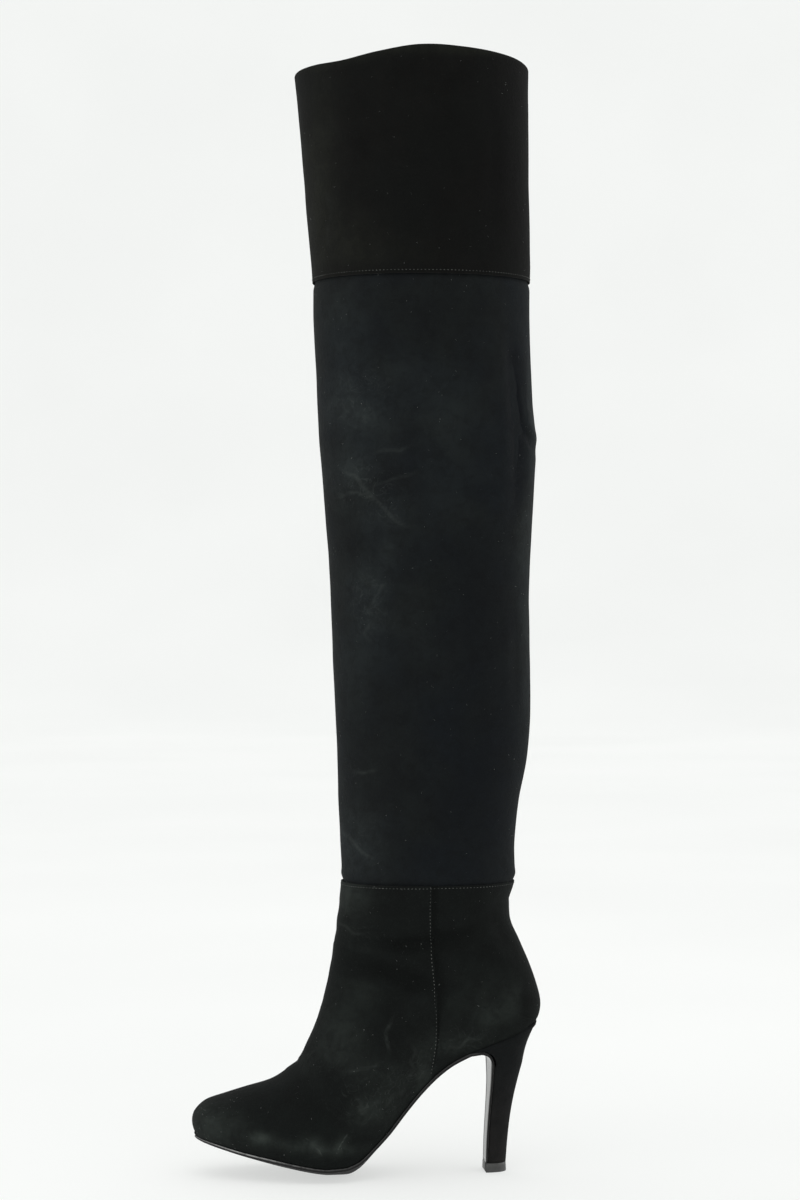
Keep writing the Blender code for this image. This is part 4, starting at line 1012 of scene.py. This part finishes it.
def build_leg(material):
    """The leg's suede, in one panel sewn up the back, its ends tucked under the cuff and the foot."""
    bottom, top = ANKLE_SEAM - SEAM_LAP, KNEE_SEAM + SEAM_LAP
    heights = [bottom, ANKLE_SEAM - 0.002]
    heights += [ANKLE_SEAM + 0.0012 * i for i in range(5)]
    start = heights[-1]
    heights += [start + (KNEE_SEAM - start) * i / LEG_ROWS for i in range(1, LEG_ROWS + 1)]
    heights += [KNEE_SEAM + 0.003, top]
    grid = ring_grid(heights, leg_draw)
    normals = grid_normals(grid, True)
    rise, numbers_of = worked(grid, LEG_CREASES, LEG_PATCHES, 0.55)
    up = np.array(heights)[:, None]
    fade = np.clip((up - ANKLE_SEAM - 0.001) / 0.012, 0, 1) * np.clip((KNEE_SEAM - up) / 0.012, 0, 1)
    sag = np.exp(-(((up - ANKLE_SEAM - 0.0048) / 0.003) ** 2)) * 0.45
    seam = back_seam()
    rise = rise * fade + sag - 0.35 * seam * fade
    numbers_of["worn"] -= 0.6 * seam
    numbers_of["lint"] = np.full(rise.shape, 0.35)
    outside = grid + normals * (rise / 1000)[:, :, None]
    lining = ring_grid(np.linspace(top, bottom, LINING_ROWS), lambda h: leg_draw(h) - LEG_WALL)
    points = np.concatenate([outside, lining])
    rows, columns = points.shape[:2]
    attributes = with_hidden(numbers_of, lining.shape[0] * columns)
    faces = grid_faces(rows, columns, closed_rows=True)
    return mesh_piece("leg_suede", points.reshape(-1, 3), faces, material, attributes)


def build_cuff(material):
    """The thigh cuff's suede, with a raw lower edge lapped over the leg and its collar turned in."""
    grow = SKIVED_EDGE / 3
    roll = TURNED_EDGE / 2
    shares = [0.0, 0.003] + [i / CUFF_ROWS for i in range(1, CUFF_ROWS + 1)]
    heights = [KNEE_SEAM + (CUFF_LENGTH - roll) * share for share in shares]
    grid = ring_grid(heights, lambda h: grow, wave=True)
    normals = grid_normals(grid, True)
    rise, numbers_of = worked(grid, CUFF_CREASES, CUFF_PATCHES, 0.6)
    up = np.array(heights)[:, None]
    fade = np.clip((up - KNEE_SEAM) / 0.010, 0, 1) * np.clip((COLLAR_HEIGHT - up) / 0.02, 0.2, 1)
    seam = back_seam()
    rise = rise * fade - 0.35 * seam * fade
    numbers_of["worn"] += 0.30 * np.clip(1 - (COLLAR_HEIGHT - up) / 0.006, 0, 1) - 0.6 * seam
    outside = grid + normals * (rise / 1000)[:, :, None]
    rolled = []
    crown = outside[-1]
    inward = -normals[-1]
    for turn in (30, 60, 90, 120, 150, 180):
        angle = math.radians(turn)
        rise_here = np.array((0, 0, roll * math.sin(angle)))
        rolled.append(crown + inward * roll * (1 - math.cos(angle)) + rise_here)
    rolled = np.array(rolled)
    lining = []
    for i in range(1, LINING_ROWS // 2 + 1):
        share = i / (LINING_ROWS // 2)
        row = int(round((1 - share) * (CUFF_ROWS + 1)))
        wall = TURNED_EDGE + (CUFF_EDGE - TURNED_EDGE) * min(1.0, share * 1.6)
        lining.append(outside[row] - normals[row] * wall)
    points = np.concatenate([outside, rolled, np.array(lining)])
    rows, columns = points.shape[:2]
    numbers_of["cut_edge"] = np.zeros(rise.shape)
    numbers_of["cut_edge"][0] = 0.75
    numbers_of["lint"] = np.full(rise.shape, 0.25)
    attributes = with_hidden(numbers_of, (rows - outside.shape[0]) * columns)
    attributes["worn"][rise.size : rise.size + rolled.shape[0] * columns] = 0.3
    faces = grid_faces(rows, columns, closed_rows=True)
    return mesh_piece("cuff_suede", points.reshape(-1, 3), faces, material, attributes)


# Thickness of the sole where it shows, at its bevelled edge, and how far that edge bulges. A section has
# points from side to side on each face, and some round each edge.
SOLE_EDGE = 0.0020
SOLE_BULGE = 0.0004
FACE_STEPS = 9
FACE_POINTS = 2 * FACE_STEPS + 1
EDGE_TURNS = (-60, -30, 0, 30, 60)


def sole_thickness(forward):
    """The outsole thins from the ball to the waist."""
    share = min(max((forward / FOOT_LENGTH - 0.42) / 0.12, 0.0), 1.0)
    return WAIST_THICKNESS + (OUTSOLE_THICKNESS - WAIST_THICKNESS) * share


def fillet_centre():
    """Centre of the curve that joins the waist's under face to the heel's breast."""
    forward = HEEL[-1].breast + BREAST_FILLET
    return forward, bed_height(WAIST_END) - sole_thickness(forward) + 0.0010 - BREAST_FILLET


def heel_row(height):
    """The heel's section at a height below the breast's curve."""
    return row_at(HEEL, (height - TOP_PIECE_HEIGHT) / (fillet_centre()[1] - TOP_PIECE_HEIGHT))


def sheet_ring(under, normal, thickness, half, middle, lift_of, rim=SOLE_EDGE, least=0.0):
    """One section round the sole: an under face bevelled up to a thin rounded edge, and an upper face.

    rim is the edge's height, and least is how far the bevel is up already in the middle, from 0 to 1.
    """
    spreads = [math.sin(math.pi / 2 * i / FACE_STEPS) for i in range(-FACE_STEPS, FACE_STEPS + 1)]
    ring = []

    def bevel(spread):
        share = max(least, (abs(spread) - 0.10) / 0.90)
        return (lift_of(1) + max(thickness - rim, 0.0)) * share**1.08

    def at(side, lift):
        return place(under[0] + normal[0] * lift, middle + side, under[1] + normal[1] * lift)

    rim = min(rim, thickness)
    bulge = min(SOLE_BULGE, half / 4)
    middle_lift = lift_of(1) + thickness - rim / 2
    turns = [math.radians(turn) for turn in EDGE_TURNS]
    ring += [at(spread * half, bevel(spread)) for spread in spreads]
    ring += [at(half + bulge * math.cos(turn), middle_lift + rim / 2 * math.sin(turn)) for turn in turns]
    ring += [at(spread * half, lift_of(spread) + thickness) for spread in reversed(spreads)]
    ring += [at(-half - bulge * math.cos(turn), middle_lift - rim / 2 * math.sin(turn)) for turn in turns]
    return ring


def unlifted(_spread):
    """The breast's flap has no cupping."""
    return 0.0


def closed_loft(name, loops, material, attributes=None):
    """A closed form through loops of points, capped at both ends."""
    count = len(loops[0])
    points = [point for loop in loops for point in loop]
    faces = []
    for row in range(len(loops) - 1):
        for c in range(count):
            this, above, after = row * count, (row + 1) * count, (c + 1) % count
            faces.append((this + c, this + after, above + after, above + c))
    faces.append(tuple(range(count))[::-1])
    faces.append(tuple((len(loops) - 1) * count + c for c in range(count)))
    piece = mesh_piece(name, points, faces, material, attributes)
    work = bmesh.new()
    work.from_mesh(piece.data)
    bmesh.ops.recalc_face_normals(work, faces=work.faces)
    work.to_mesh(piece.data)
    work.free()
    return piece


def build_sole(material):
    """The sole in one sheet, from the toe over the waist and down the heel's breast."""
    tip = FEATHER_TOE + SOLE_LEDGE
    stations = [tip - 0.30 * FOOT_LENGTH * (1 - math.cos(math.radians(turn))) for turn in range(0, 91, 3)]
    step = 0.0022
    while stations[-1] - step > WAIST_END + step / 2:
        stations.append(stations[-1] - step)
    stations.append(WAIST_END)
    loops = []
    for forward in stations:
        from_tip = min(1.0, (tip - forward) / 0.026)
        half, middle = outline(forward, -SOLE_LEDGE)
        thickness = sole_thickness(forward)
        normal = bed_normal(forward)
        under = (forward - normal[0] * thickness, bed_height(forward) - normal[1] * thickness)
        rim = SOLE_EDGE * (0.5 + 0.5 * from_tip)
        least = (1 - from_tip) ** 2
        lift_of = partial(edge_lift, forward)
        loops.append(sheet_ring(under, normal, thickness, half, middle, lift_of, rim, least))
    centre = fillet_centre()
    waist_half, flap_half = outline(WAIST_END)[0], HEEL[-1].width / 2 - FLAP_MARGIN
    for turn in range(0, 91, 6):
        angle = math.radians(turn)
        normal = (-math.sin(angle), math.cos(angle))
        under = (centre[0] + normal[0] * BREAST_FILLET, centre[1] + normal[1] * BREAST_FILLET)
        share = math.sin(angle)
        half = waist_half + (flap_half - waist_half) * share**1.5
        thickness = WAIST_THICKNESS + (FLAP_THICKNESS - WAIST_THICKNESS) * share
        loops.append(sheet_ring(under, normal, thickness, half, 0.0, unlifted))
    for i in range(24, -1, -1):
        height = TOP_PIECE_HEIGHT + GAP + i / 25 * (centre[1] - TOP_PIECE_HEIGHT - GAP)
        row = heel_row(height)
        half = row.width / 2 - FLAP_MARGIN
        loops.append(sheet_ring((row.breast, height), (-1.0, 0.0), FLAP_THICKNESS, half, 0.0, unlifted))
    rim_highlights, treads, polishes = [], [], []
    for loop in loops:
        forward = (FOOT_LENGTH / 2 - loop[FACE_STEPS].y) / FOOT_LENGTH
        # Painted highlight along the edge's upper corner and the upper face's rim, strongest round the toe.
        painted_highlight = 0.10 + 0.86 * math.exp(-(((forward - 0.88) / 0.14) ** 2))
        edge = [0.0, 0.0, 0.0, 0.8 * painted_highlight, painted_highlight]
        upper = [painted_highlight] + [0.0] * (FACE_POINTS - 2) + [painted_highlight]
        rim_highlights += [0.0] * FACE_POINTS + edge + upper + edge[::-1]
        walked = min(max((forward - 0.38) / 0.10, 0.0), 1.0)
        low_edge = [0.25 * walked] + [0.0] * (len(edge) - 1)
        treads += [walked] * FACE_POINTS + low_edge + [0.0] * FACE_POINTS + low_edge[::-1]
        face = [(1 - walked) * (0.97 if 4 < i < 14 else 0.45) for i in range(FACE_POINTS)]
        polishes += face + [0.25] * len(edge) + [0.2] * FACE_POINTS + [0.25] * len(edge)
    attributes = {"rim": rim_highlights, "tread": treads, "polish": polishes}
    return closed_loft("sole_sheet", loops, material, attributes)


def heel_ring(breast, back, half, power, cells=20):
    """One section of the heel: a flat breast and a round back, between two points of the side view."""
    ring = []
    for side in (1, -1):
        turns = range(cells + 1) if side > 0 else range(cells - 1, -1, -1)
        for turn in turns:
            angle = math.pi / 2 * turn / cells
            along = max(0.0, math.sin(angle)) ** (2 / power)
            out = max(0.0, math.cos(angle)) ** (2 / power) if turn < cells else 0.0
            forward = breast[0] + (back[0] - breast[0]) * along
            ring.append(place(forward, side * half * out, breast[1] + (back[1] - breast[1]) * along))
    return ring


# Where the heel spreads into the seat: the turn of the breast's curve, and the share of the way up the back
WEDGE = rows_of(
    "step turn share",
    (0.0, 90, 0.00), (1.0, 62, 0.36), (2.0, 34, 0.66), (3.0, 8, 0.86),
)


# How far the heel cover's top edge stands out behind the feather line, under the counter's curve, and how far
# the heel's back is drawn in below it
SEAT_OVERHANG = 0.0002
BACK_HOLLOW = 0.0016

# The cover's last sections, where its top edge is eased: how far the tip is drawn in and lowered, how far the
# back is, and how much narrower the half is
SEAT_EDGE = (
    (0.0, 0.0006, 0.0005, 0.0022, 0.0),
    (0.0, 0.0002, 0.0, 0.0004, 0.0),
    (0.0006, 0.0, 0.0006, 0.0, 0.0006),
)


def build_heel(material):
    """The covered heel, from the top piece up to the seat."""
    behind = FLAP_THICKNESS + GAP
    centre = fillet_centre()
    loops = []
    for i in range(34):
        height = TOP_PIECE_HEIGHT + GAP + i / 34 * (centre[1] - TOP_PIECE_HEIGHT - GAP)
        row = heel_row(height)
        loops.append(heel_ring((row.breast - behind, height), (row.back, height), row.width / 2, row.power))
    seat_back = (FEATHER_BACK + GAP - SEAT_OVERHANG, bed_height(FEATHER_BACK))
    seat_half = 0.5 * SEAT_WIDTH
    low_back = (HEEL[-1].back, centre[1])
    radius = BREAST_FILLET + WAIST_THICKNESS + GAP
    for i in range(19):
        row = row_at(WEDGE, i / 6)
        angle = math.radians(row.turn)
        breast = (centre[0] - math.sin(angle) * radius, centre[1] + math.cos(angle) * radius)
        back = [low + (high - low) * row.share for low, high in zip(low_back, seat_back)]
        back[0] += BACK_HOLLOW * math.sin(math.pi * row.share)
        spread = math.sin(math.pi / 2 * row.share) ** 1.2
        half = HEEL[-1].width / 2 + (seat_half - HEEL[-1].width / 2) * spread
        loops.append(heel_ring(breast, back, half, 2.4 + 0.5 * row.share))
    tip_height = bed_height(WEDGE_TIP)
    for tip_in, tip_down, back_in, back_down, narrower in SEAT_EDGE:
        breast = (WEDGE_TIP - tip_in, tip_height - tip_down)
        back = (seat_back[0] + back_in, seat_back[1] - back_down)
        loops.append(heel_ring(breast, back, seat_half - narrower, 3.0))
    worn = []
    for loop in loops:
        share = min(max((0.075 - loop[0].z) / 0.05, 0.0), 1.0)
        worn += [0.55 * share] * len(loop)
    return closed_loft("heel_cover", loops, material, {"worn": worn})


def build_top_piece(material):
    """The top piece that the heel stands on, with eased edges."""
    row = HEEL[0]
    loops = []
    soft = 0.0005
    profile = [(0.0, -soft), (soft * 0.3, -soft * 0.3), (soft, 0.0)]
    profile += [(TOP_PIECE_HEIGHT * share, 0.0) for share in (0.35, 0.7)]
    profile += [(TOP_PIECE_HEIGHT - soft * 0.6, 0.0), (TOP_PIECE_HEIGHT, -soft * 0.5)]
    for height, ease in profile:
        grow = ease + TOP_PIECE_FLARE * (1 - height / TOP_PIECE_HEIGHT)
        breast, back = (row.breast + grow, height), (row.back - grow, height)
        loops.append(heel_ring(breast, back, row.width / 2 + grow, row.power))
    return closed_loft("top_piece_rubber", loops, material)


def repeated(name, source, tree, values):
    """Turns a source mesh into one plain mesh of repeated pieces, that rides with the boot."""
    holder = bpy.data.objects.new(name + "_path", source)
    bpy.context.scene.collection.objects.link(holder)
    modifier = holder.modifiers.new("repeat", "NODES")
    modifier.node_group = tree
    for item in tree.interface.items_tree:
        if item.in_out == "INPUT" and item.name in values:
            modifier[item.identifier] = values[item.name]
    ready = holder.evaluated_get(bpy.context.evaluated_depsgraph_get())
    mesh = bpy.data.meshes.new_from_object(ready)
    bpy.data.objects.remove(holder)
    piece = bpy.data.objects.new(name, mesh)
    mesh.shade_smooth()
    bpy.context.scene.collection.objects.link(piece)
    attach(piece, "root")


def new_tree(name, inputs):
    """A geometry tree with a geometry input and output and named numbers."""
    tree = bpy.data.node_groups.new(name, "GeometryNodeTree")
    tree.interface.new_socket("Geometry", in_out="INPUT", socket_type="NodeSocketGeometry")
    for key, value in inputs.items():
        kind = "NodeSocketInt" if isinstance(value, int) else "NodeSocketFloat"
        tree.interface.new_socket(key, in_out="INPUT", socket_type=kind).default_value = value
    tree.interface.new_socket("Geometry", in_out="OUTPUT", socket_type="NodeSocketGeometry")
    return tree, add(tree, "NodeGroupInput").node.outputs


def end_tree(tree, instances, material):
    """Ends a geometry tree with real geometry and its material."""
    real = add(tree, "GeometryNodeRealizeInstances", {"Geometry": instances})
    real = add(tree, "GeometryNodeSetMaterial", {"Geometry": real, "Material": material})
    add(tree, "NodeGroupOutput", {"Geometry": real})


def stitch_tree(material):
    """Stitches along a line: a low capsule at each step, laid along the line on the surface."""
    tree, given = new_tree("thread_stitches", {"Pitch": 0.0024, "Length": 0.0010, "Radius": 0.00018})
    line = add(tree, "GeometryNodeMeshToCurve", {"Mesh": given["Geometry"]})
    line = add(tree, "GeometryNodeResampleCurve", {"Curve": line, "Length": given["Pitch"]}, mode="LENGTH")
    lay = add(tree, "GeometryNodeInputNamedAttribute", {"Name": "lay"}, data_type="FLOAT_VECTOR")
    along = add(tree, "GeometryNodeInputTangent")
    turn = add(tree, "FunctionNodeAlignRotationToVector", {"Vector": lay}, axis="Z")
    lie = {"Rotation": turn, "Vector": along}
    turn = add(tree, "FunctionNodeAlignRotationToVector", lie, axis="X", pivot_axis="Z")
    ball = add(tree, "GeometryNodeMeshUVSphere", {"Segments": 6, "Rings": 5, "Radius": 0.5}, "Mesh")
    sizes = {"X": given["Length"], "Y": given["Radius"], "Z": given["Radius"]}
    size = add(tree, "ShaderNodeCombineXYZ", sizes)
    size = add(tree, "ShaderNodeVectorMath", {0: size, 1: (1.0, 2.0, 2.0)}, operation="MULTIPLY")
    stitch = add(tree, "GeometryNodeTransform", {"Geometry": ball, "Scale": size})
    placed = add(tree, "GeometryNodeInstanceOnPoints", {"Points": line, "Instance": stitch, "Rotation": turn})
    end_tree(tree, placed, material)
    return tree


def fibre_tree(material):
    """Loose fibres scattered over a surface: short bent hairs that lie on it at any angle."""
    tree, given = new_tree("loose_fibres", {"Density": 5000.0, "Length": 0.001, "Radius": 0.0001, "Seed": 3})
    amount = add(tree, "GeometryNodeInputNamedAttribute", {"Name": "lint"}, data_type="FLOAT")
    density = add(tree, "ShaderNodeMath", {0: given["Density"], 1: amount}, operation="MULTIPLY")
    spots = {"Mesh": given["Geometry"], "Density": density, "Seed": given["Seed"]}
    points = add(tree, "GeometryNodeDistributePointsOnFaces", spots, "Points")
    facing = points.node.outputs["Rotation"]
    spins = {"Min": (-0.4, -0.4, -3.14), "Max": (0.4, 0.4, 3.14), "Seed": 7}
    spin = add(tree, "FunctionNodeRandomValue", spins, data_type="FLOAT_VECTOR")
    spun = {"Rotation": facing, "Rotate By": spin}
    turn = add(tree, "FunctionNodeRotateRotation", spun, rotation_space="LOCAL")
    bend = {"Resolution": 4, "Start": (-0.5, 0.0, 0.0), "Middle": (0.1, 0.35, 0.25), "End": (0.5, 0.0, 0.12)}
    hair = add(tree, "GeometryNodeCurveQuadraticBezier", bend)
    long = add(tree, "ShaderNodeCombineXYZ", {axis: given["Length"] for axis in "XYZ"})
    hair = add(tree, "GeometryNodeTransform", {"Geometry": hair, "Scale": long})
    round_of = add(tree, "GeometryNodeCurvePrimitiveCircle", {"Resolution": 3, "Radius": given["Radius"]})
    hair = add(tree, "GeometryNodeCurveToMesh", {"Curve": hair, "Profile Curve": round_of, "Fill Caps": True})
    size = add(tree, "FunctionNodeRandomValue", {"Min": 0.4, "Max": 1.6, "Seed": 11}, data_type="FLOAT")
    hairs = {"Points": points, "Instance": hair, "Rotation": turn, "Scale": size}
    placed = add(tree, "GeometryNodeInstanceOnPoints", hairs)
    end_tree(tree, placed, material)
    return tree


def thread_finish(name, tones):
    """Spun thread or lint: a dull fibre, twisted every 0.4 mm, whose shade drifts a little along it."""
    twist = ("ShaderNodeTexNoise", "Fac", 2500.0)
    return plain_finish(name, tones, (90.0, 2.0, 0.65), twist, (0.00005, 0.5), 0.85)


def line_mesh(name, points, normals):
    """A line of points with the surface's direction at each, for stitches to follow."""
    mesh = bpy.data.meshes.new(name)
    mesh.from_pydata([tuple(p) for p in points], [(i, i + 1) for i in range(len(points) - 1)], [])
    lay = mesh.attributes.new("lay", "FLOAT_VECTOR", "POINT")
    lay.data.foreach_set("vector", np.asarray(normals, dtype=np.float32).ravel())
    return mesh


# Degrees round a hoop: how far the stitches stand in front of the side seam, and where they stop at the sole
SEAM_INSET = 0.9
SEAM_END = 176


def seam_lines():
    """The lines that stitches follow: round the ankle's edge and the cuff's, and down each side seam."""
    lines = {}
    for key, height, grow in (
        ("ankle", ANKLE_SEAM - 0.0017, 0.00005),
        ("cuff", KNEE_SEAM + 0.0020, SKIVED_EDGE / 3 + 0.00005),
    ):
        angles = [-180 + 2 * i for i in range(181)]
        ring = np.array([leg_ring(height, [a], grow)[0] for a in angles])
        outward = ring - ring.mean(axis=0)
        outward[:, 2] = 0
        lines[key] = (ring, outward / np.linalg.norm(outward, axis=1)[:, None])
    for key, side in (("outer", 1), ("inner", -1)):
        climbs = [partial(hoop_point, number) for number in np.arange(11.2, 24.9, 0.15)]
        climbs += [ring_point(height) for height in np.linspace(FAN_TOP, ANKLE_SEAM - 0.001, 8)]
        points = []
        for point_at in climbs:
            seam = seam_angle(lambda angle, s=side, at=point_at: at(s * angle))
            if seam < SEAM_END:
                points.append(place(*point_at(side * (seam - SEAM_INSET))))
        lines[key] = (np.array(points), np.array([(side, 0.0, 0.0)] * len(points)))
    return lines


def laid_on(piece, points, normals, clear):
    """Points moved onto a piece's surface, clear of it by a little, with its normals there."""
    laid, facing = [], []
    for point, normal in zip(points, normals):
        _, spot, up, _ = piece.closest_point_on_mesh(Vector(point + normal * 0.002))
        laid.append(spot + up * clear)
        facing.append(up)
    return np.array(laid), np.array(facing)


# Seed of the loose fibres on the foot, the leg and the cuff
LINT_SEEDS = (10, 9, 10)


def build_stitches_and_lint(suedes):
    """Thread along the seams, and lint on the nap."""
    pieces = {slot: piece for piece, slot in suedes}
    thread = stitch_tree(thread_finish("dull_polyester_thread", ("#323432", "#6C6E6A")))
    for key, (points, normals) in seam_lines().items():
        values = {"Pitch": 0.0024, "Length": 0.0010, "Radius": 0.00018}
        slot = "cuff_suede" if key == "cuff" else "upper_suede"
        points, normals = laid_on(pieces[slot], points, normals, 0.00006)
        repeated("stitches_" + key, line_mesh(key + "_line", points, normals), thread, values)
    fluff = fibre_tree(thread_finish("cotton_lint", ("#606361", "#A0A3A0")))
    for (piece, slot), seed in zip(suedes, LINT_SEEDS):
        values = {"Density": 11000.0, "Length": 0.0006, "Radius": 0.000035, "Seed": seed}
        repeated("lint_on_" + piece.name, piece.data.copy(), fluff, values)


# Photograph's camera: its distance from the boot's middle plane, its turn towards the toe, its height, where
# along the foot it aims, and its lens in mm
CAMERA_DISTANCE = 2.0
CAMERA_TURN = math.radians(5.5)
CAMERA_HEIGHT = 0.3715
CAMERA_AIM = 0.091
CAMERA_LENS = 92.31


# Stage: its flat floor's reach, the radius of the curve up to its wall, the wall's top, and its cells round
FLOOR_REACH = 6.5
FLOOR_CURVE = 2.5
WALL_TOP = 7.0
STAGE_CELLS = 90


def build_stage():
    """A pale acrylic floor, round, that curves up to a wall on every side and glows a little from below."""
    material, tree = blank_material("pale_acrylic_sweep")
    at = add(tree, "ShaderNodeTexCoord", output="Object")
    cloud = add(tree, "ShaderNodeTexNoise", {"Vector": at, "Scale": 1.5, "Detail": 2.0}, "Fac")
    share = add(tree, "ShaderNodeMapRange", {"Value": cloud, "From Min": 0.3, "From Max": 0.7})
    end_material(tree, "#A0A1A0", [(share, "#A2A3A2")], None, {"Roughness": 0.9, "Emission Strength": 1.62})
    profile = [(reach, 0.0) for reach in (0.0, 0.5, 1.5, 3.0, 5.0, FLOOR_REACH)]
    for turn in range(9, 91, 9):
        angle = math.radians(turn)
        profile.append((FLOOR_REACH + FLOOR_CURVE * math.sin(angle), FLOOR_CURVE * (1 - math.cos(angle))))
    profile.append((FLOOR_REACH + FLOOR_CURVE, WALL_TOP))
    turns = [2 * math.pi * i / STAGE_CELLS for i in range(STAGE_CELLS)]
    points = [Vector((reach * math.cos(a), reach * math.sin(a), up)) for reach, up in profile for a in turns]
    faces = []
    for row in range(len(profile) - 1):
        this, above = row * STAGE_CELLS, (row + 1) * STAGE_CELLS
        for i in range(STAGE_CELLS):
            after = (i + 1) % STAGE_CELLS
            faces.append((this + i, above + i, above + after, this + after))
    sweep = mesh_piece("sweep", points, faces, material)
    return sweep


def add_light(name, place_at, aim, size, power, leaves_out=None):
    """A large soft white light, aimed at a point, that may leave the objects of one collection unlit."""
    lamp = bpy.data.lights.new(name, "AREA")
    lamp.shape = "RECTANGLE"
    lamp.size, lamp.size_y = size
    lamp.energy = power
    lamp_object = bpy.data.objects.new(name, lamp)
    lamp_object.location = place_at
    lamp_object.rotation_euler = (Vector(aim) - Vector(place_at)).to_track_quat("-Z", "Y").to_euler()
    lamp_object.visible_camera = False
    if leaves_out:
        lamp_object.light_linking.receiver_collection = leaves_out
    bpy.context.scene.collection.objects.link(lamp_object)


def build_light_and_camera(sweep):
    """Soft studio light and the photograph's camera. The two side lights fall on the boot alone."""
    backdrop = bpy.data.collections.new("backdrop")
    backdrop.objects.link(sweep)
    backdrop.collection_objects[0].light_linking.link_state = "EXCLUDE"
    bpy.context.scene.view_settings.view_transform = "Standard"
    world = bpy.data.worlds.new("studio")
    world.use_nodes = True
    world.node_tree.nodes["Background"].inputs["Color"].default_value = linear("#FFFFFF")
    world.node_tree.nodes["Background"].inputs["Strength"].default_value = 0.80
    bpy.context.scene.world = world
    add_light("overhead", (0.4, 0.0, 2.4), (0.0, 0.0, 0.35), (2.4, 2.4), 12)
    add_light("toe_side", (1.32, -4.4, 1.78), (0.0, 0.0, 0.35), (3.5, 2.6), 68, backdrop)
    add_light("heel_side", (-0.66, 4.4, 1.56), (0.0, 0.0, 0.35), (3.1, 2.4), 46, backdrop)
    lens = bpy.data.cameras.new("photograph")
    lens.sensor_fit = "VERTICAL"
    lens.sensor_height = 36
    lens.lens = CAMERA_LENS
    camera = bpy.data.objects.new("photograph", lens)
    aim = Vector((0, FOOT_LENGTH / 2 - CAMERA_AIM, CAMERA_HEIGHT))
    away = Vector((math.cos(CAMERA_TURN), -math.sin(CAMERA_TURN), 0))
    camera.location = aim + CAMERA_DISTANCE * away
    camera.rotation_euler = (-away).to_track_quat("-Z", "Y").to_euler()
    bpy.context.scene.collection.objects.link(camera)
    bpy.context.scene.camera = camera


def main():
    """Builds the stage, the finishes and the boot's pieces."""
    build_light_and_camera(build_stage())
    foot_suede = suede("foot_kid_suede", "#0D0F0E", "#131615", "#101312", "#080A09", "#2E3330", 0.014)
    leg_suede = suede("leg_kid_suede", "#111314", "#161919", "#12161A", "#0A0C10", "#2A2F2F", 0.014)
    cuff_suede = suede("cuff_kid_suede", "#0A0A09", "#0F0F0E", "#0C0E0D", "#050505", "#23251F", 0.003)
    heel_suede = suede("heel_kid_suede", "#0F1111", "#161818", "#131516", "#080909", "#262322", 0.014)
    sole_finish = sole_leather_finish()
    # Moulded hard rubber: dark grey with a dull gloss, its grain drawn at 0.7 mm
    grain = ("ShaderNodeTexNoise", "Fac", 1400.0)
    rubber = plain_finish(
        "moulded_rubber", ("#2E2E2E", "#444443"), (220.0, 3.0, 0.7), grain, (0.00008, 0.3), 0.46
    )
    # Smooth pigskin over insole board: charcoal and matt, with pores drawn at 1.4 mm
    pores = ("ShaderNodeTexVoronoi", "Distance", 700.0)
    lining = plain_finish(
        "pigskin_lining", ("#1A1918", "#2A2826"), (40.0, 4.0, 0.7), pores, (0.0001, 0.4), 0.7
    )
    dressed = (
        (build_foot(foot_suede), "upper", "upper_suede"),
        (build_leg(leg_suede), "leg_panel", "leg_suede"),
        (build_cuff(cuff_suede), "cuff", "cuff_suede"),
        (build_heel(heel_suede), "heel", "heel_cover_suede"),
        (build_sole(sole_finish), "outsole", "sole_leather"),
        (build_top_piece(rubber), "top_piece", "top_piece_rubber"),
    )
    for piece, node, finish in dressed:
        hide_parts(node)
        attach(piece, "root")
    build_stitches_and_lint([(piece, finish) for piece, _, finish in dressed[:3]])
    for material_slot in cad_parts["insole"].material_slots:
        material_slot.material = lining


main()
